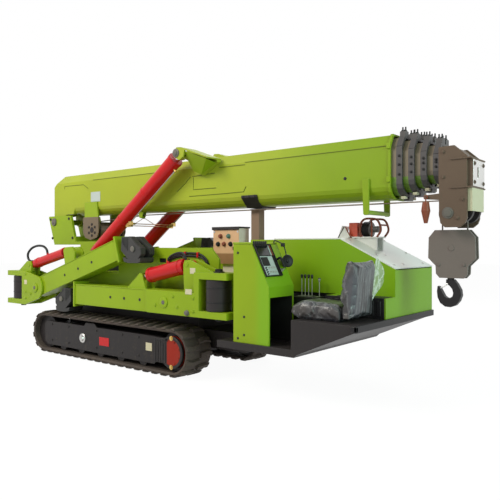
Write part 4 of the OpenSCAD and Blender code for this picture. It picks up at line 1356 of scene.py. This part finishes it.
class Corner:
    def __init__(self, name):
        self.front = name.endswith("f")
        self.hand = -1 if name.startswith("r") else 1
        self.way = -1 if self.front else 1
        self.lean = 0.0 if self.front else math.radians(17)
        self.pivot = (2700, 828) if self.front else (100, 870)
        self.ear = (3000, 1245) if self.front else (-150, 1180)
        self.tilt = math.atan2(-155, 760) if self.front else math.atan2(200.6, 893.9)

    def point(self, start, angle, s, n, y):
        """A point s along a line from the start and n square to it, y beside the post."""
        x = s * math.cos(angle) - n * math.sin(angle)
        z = start[1] + s * math.sin(angle) + n * math.cos(angle)
        return at(start[0] + self.way * x, self.hand * POST_Y + y, z)

    def on_arm(self, s, n, y):
        return self.point(self.pivot, self.lean, s, n, y)

    def on_leg(self, s, n, y=0.0):
        return self.point(self.ear, self.tilt, s, n, y)


for name in CORNERS:
    corner = Corner(name)
    front, way = corner.front, corner.way
    long = 1730 if front else 1840
    bm_lip, bm_hole, bm_pin, bm_boss, bm_foot, bm_hose, bm_end = (bmesh.new() for _ in range(7))
    for y in (-98, 98):
        thick = Vector((0, 0.006 if y > 0 else -0.006, 0))
        for n in (-128, 118):
            corners = [(150, n), (long - 30, n), (long - 30, n + 10), (150, n + 10)]
            plate(bm_lip, [corner.on_arm(a, b, y) for a, b in corners], thick)
        for s in ((440, 720, 980) if front else (690, 1000, 1300)):
            turned(bm_hole, corner.on_arm(s, 0 if front else -8, y), thick,
                [(0.017, -0.001), (0.017, 0.003), (0.011, 0.003), (0.010, 0.001)], 20)
    made("arm_lips_" + name, bm_lip, "leg_" + name, green, bevel=0.002)
    made("arm_plugs_" + name, bm_hole, "leg_" + name, dark)
    for y in (-1, 1):
        turned(bm_pin, corner.on_arm(long + 275, -80, y * 112), Vector((0, y, 0)),
            [(0.034, -0.006), (0.034, 0.004), (0.024, 0.008), (0.006, 0.009)], 24)
        turned(bm_pin, corner.on_arm(0, 0, y * 136), Vector((0, y, 0)),
            [(0.024, 0.003), (0.022, 0.010), (0.006, 0.011)], 24)
        turned(bm_boss, corner.on_arm(0, 0, y * 136), Vector((0, y, 0)),
            [(0.060, -0.006), (0.060, 0.002), (0.050, 0.005), (0.026, 0.005)], 28)
    made("arm_pins_" + name, bm_pin, "leg_" + name, pin_grey)
    made("arm_bosses_" + name, bm_boss, "leg_" + name, green)
    base = corner.on_arm(long + 275, -80, 0)
    for y in (-1, 1):
        for x in (-196, -172, -148, -124, -100):
            low, high = -0.02 + (-0.1 - x / 1000) * 0.9, 0.136
            rib, side = way * x / 1000, y * 0.104
            block(
                bm_foot, base + Vector((rib - 0.005, side - 0.006, low)),
                base + Vector((rib + 0.005, side + 0.006, high)))
        seam = [base + Vector((way * a / 1000, y * 0.104, b / 1000 - 0.012)) for a, b in FOOT_SEAM]
        tube(bm_foot, seam, 0.006, 8, bend=False)
    made("foot_ribs_" + name, bm_foot, "foot_" + name, sole, bevel=0.0015)
    r = 84 if front else 66
    if front:
        hose = [(60, 40), (70, 120), (130, 158), (240, 160), (330, 132), (345, r - 4)]
    else:
        hose = [(30, 40), (-66, 66), (-108, 118), (-92, 184), (16, 232), (170, 234), (310, 196), (384, 134),
            (396, r - 4)]
    tube(bm_hose, [corner.on_leg(s, n, -12) for s, n in hose], 0.011 if front else 0.016, 12)
    if front:
        second = hose[:1] + [(s, n - 24) for s, n in hose[1:-1]] + hose[-1:]
        tube(bm_hose, [corner.on_leg(s + 36, n, 14) for s, n in second], 0.011, 12)
    made("leg_pipes_" + name, bm_hose, "leg_barrel_" + name, plastic)
    full = 775.6 if front else 916.1
    d = (corner.on_leg(1, 0) - corner.on_leg(0, 0)).normalized()
    for s, w in ((150, 0.02), (full - 150, 0.044)):
        inner, outer = r / 1000 - 0.001, r / 1000 + 0.005
        turned(bm_end, corner.on_leg(s, 0), d,
            [(inner, 0), (outer, 0.001), (outer, w - 0.001), (inner, w)], 40)
    for y, s in ((-12, 345), (14, 381)) if front else ((-12, 396),):
        low = corner.on_leg(s, r - 6, y)
        turned(bm_end, low, corner.on_leg(s, r + 10, y) - low,
            [(0.017, 0), (0.017, 0.02), (0.013, 0.022), (0.013, 0.04)], 6)
    made("leg_bands_" + name, bm_end, "leg_barrel_" + name, red)
print("outriggers: lips, plugs, pins, ribs, pipes, bands")

# %% [markdown]
# The swing brackets carry bolts, small blank plates and a grey knob, and the
# posts end in large nuts on top and below.

# %% Bracket plates and post nuts
BRACKET_FACE = 808.5
for name in CORNERS:
    corner = Corner(name)
    front, hand = corner.front, corner.hand
    side = "near" if hand < 0 else "far"
    y = hand * BRACKET_FACE
    bm = bmesh.new()
    if front:
        slab(bm, (3034, 3132), (y, hand * (BRACKET_FACE + 2)), (934, 990))
        slab(bm, (3050, 3128), (hand * 752, hand * 754.5), (1150, 1212))
        spots = [(2908, 790), (3150, 760), (3150, 900), (2560, 790), (2840, 900)]
    else:
        slab(bm, (-182, -112), (y, hand * (BRACKET_FACE + 2)), (905, 968))
        spots = [(-150, 1050), (-150, 711), (-20, 780), (-150, 800)]
    spots = [((x, y, z), side) for x, z in spots]
    made("bracket_plates_" + name, bm, "swing_" + name, cream, bevel=0.001)
    bolt_group("bracket_bolts_" + name, "swing_" + name, spots, green, 0.013, 0.010)
    if front:
        bm = bmesh.new()
        side_cap(bm, hand, 3060, BRACKET_FACE, 737,
            [(0.030, -0.002), (0.030, 0.01), (0.022, 0.014), (0.024, 0.024), (0.016, 0.03), (0.004, 0.031)])
        made("bracket_knob_" + name, bm, "swing_" + name, pin_grey)
NUT = [(0.058, -0.004), (0.058, 0.004), (0.042, 0.005)]
bm = bmesh.new()
for x, top, low in ((3400, 1178, 692), (-420, 1098, 612)):
    for hand in (-1, 1):
        y = hand * POST_Y
        turned(bm, at(x, y, top), OUT["up"], NUT + [(0.042, 0.026), (0.034, 0.030), (0.012, 0.031)], 6)
        turned(bm, at(x, y, low), -OUT["up"], NUT + [(0.042, 0.022), (0.034, 0.026)], 6)
        for z in ((860, 1010) if x > 0 else (780, 930)):
            turned(bm, at(x, y, z), OUT["up"],
                [(0.134, 0), (0.139, 0.002), (0.139, 0.010), (0.134, 0.012)], 48)
made("post_nuts", bm, "chassis", black)
print("brackets: plates, bolts, knobs; posts: nuts and grease bands")

# %% [markdown]
# Last come the small things on the chassis: black plates behind its slots as
# painted shade, two clamped pipes on each side, a dark front bumper bar and the
# dark side of the seat tray.

# %% Chassis fittings
SIDE_PIPE = [
    (2440, 481, 1292), (2474, 494, 1318), (2600, 492, 1352), (2760, 492, 1366), (2944, 492, 1354),
    (3040, 492, 1300), (3062, 494, 1262), (3070, 481, 1240),
]
bm_slot_shade, bm_hose, bm_clip = (bmesh.new() for _ in range(3))
for hand in (-1, 1):
    # Painted shade: black plates behind the slots, so that the slots read dark.
    slab(bm_slot_shade, (1720, 2900), (hand * 440, hand * 455), (1225, 1330))
    for dz in (0, -30):
        tube(bm_hose, [at(x, hand * y, z + dz) for x, y, z in SIDE_PIPE], 0.011, 12)
    for x, z in ((2700, 1345), (2900, 1340)):
        slab(bm_clip, (x, x + 26), (hand * 480, hand * 507), (z - 24, z + 38))
made("slot_shade_plates", bm_slot_shade, "chassis", black, bevel=0.002)
made("chassis_pipes", bm_hose, "chassis", plastic)
made("pipe_clips", bm_clip, "chassis", red, bevel=0.003)
bm = bmesh.new()
slab(bm, (5070, 5098), (-846, 820), (716, 776))
slab(bm, (5040, 5098), (-846, -818), (722, 770))
made("front_bumper", bm, "chassis", black, bevel=0.004)
bm = bmesh.new()
slab(bm, (4436, 5062), (-269, -262), (773, 966))
slab(bm, (4560, 5056), (-266, -70), (962, 969))
for x in range(4470, 5060, 74):
    slab(bm, (x, x + 40), (-273, -266), (800, 940))
made("tray_side", bm, "chassis", black, bevel=0.003)
print("chassis: slot backs, pipes, bumper, tray side")

# %% [markdown]
# The studio is plain: a pale floor that keeps the shadow, a soft key from the
# camera's left, a weaker fill from the front, and an even sky. The camera and
# the reflections see pure white, while the light on the machine stays low
# enough for each colour to come out about as it is written.

# %% Studio
SKY_LIGHT, PAPER_WHITE, FLOOR_SHINE, FLOOR_SHARE = 0.31, 1.0, 1.1, 0.86


def seen_by(tree, *kinds):
    """1 for these kinds of ray, 0 for the light that falls on the machine."""
    ray = tree.nodes.new("ShaderNodeLightPath")
    seen, *others = (Value(tree, ray.outputs[f"Is {kind} Ray"]) for kind in kinds)
    for other in others:
        seen = seen.sum("MAXIMUM", seen, other)
    return seen


def blended(tree, factor, first, second, end):
    """Leads a mix of two shaders to the end of the tree."""
    blend = tree.nodes.new("ShaderNodeMixShader")
    for source, target in zip((factor.socket, first.outputs[0], second.outputs[0]), blend.inputs):
        tree.links.new(source, target)
    tree.links.new(blend.outputs[0], end.inputs[0])


world = bpy.data.worlds.new("studio")
bpy.context.scene.world = world
world.use_nodes = True
tree = world.node_tree
tree.nodes.clear()
skies = []
for strength in (SKY_LIGHT, PAPER_WHITE):
    sky = tree.nodes.new("ShaderNodeBackground")
    sky.inputs["Color"].default_value = (1, 1, 1, 1)
    sky.inputs["Strength"].default_value = strength
    skies.append(sky)
seen = seen_by(tree, "Camera", "Glossy", "Transmission")
blended(tree, seen, *skies, tree.nodes.new("ShaderNodeOutputWorld"))

floor_mesh = bpy.data.meshes.new("floor")
floor_mesh.from_pydata([(-40, -40, 0), (40, -40, 0), (40, 40, 0), (-40, 40, 0)], [], [(0, 1, 2, 3)])
floor = placed("floor", floor_mesh)
floor_paint = bpy.data.materials.new("floor_pale")
floor_paint.use_nodes = True
tree = floor_paint.node_tree
shader = tree.nodes["Principled BSDF"]
shader.inputs["Base Color"].default_value = (0.62, 0.62, 0.62, 1)
shader.inputs["Roughness"].default_value = 0.9
shine = tree.nodes.new("ShaderNodeEmission")
shine.inputs["Strength"].default_value = FLOOR_SHINE
seen = seen_by(tree, "Camera", "Glossy") * FLOOR_SHARE
blended(tree, seen, shader, shine, tree.nodes["Material Output"])
floor_mesh.materials.append(floor_paint)


def softbox(name, place, aim, size, power, colour):
    lamp = bpy.data.lights.new(name, "AREA")
    lamp.shape = "DISK"
    lamp.size = size
    lamp.energy = power
    lamp.color = colour
    o = placed(name, lamp)
    o.location = place
    o.rotation_euler = (Vector(aim) - Vector(place)).to_track_quat("-Z", "Y").to_euler()


softbox("key", (-2.8, -6.2, 6.6), (0, 0, 1.2), 4.5, 530, (1.0, 0.96, 0.86))
softbox("fill", (14.0, -4.0, 5.5), (0, 0, 1.2), 7.0, 900, (0.64, 1.0, 0.86))
softbox("rim", (-2.0, 7.0, 7.5), (0, 0, 1.5), 5.0, 220, (1.0, 1.0, 1.0))
print("studio: floor, 3 lamps, white sky")
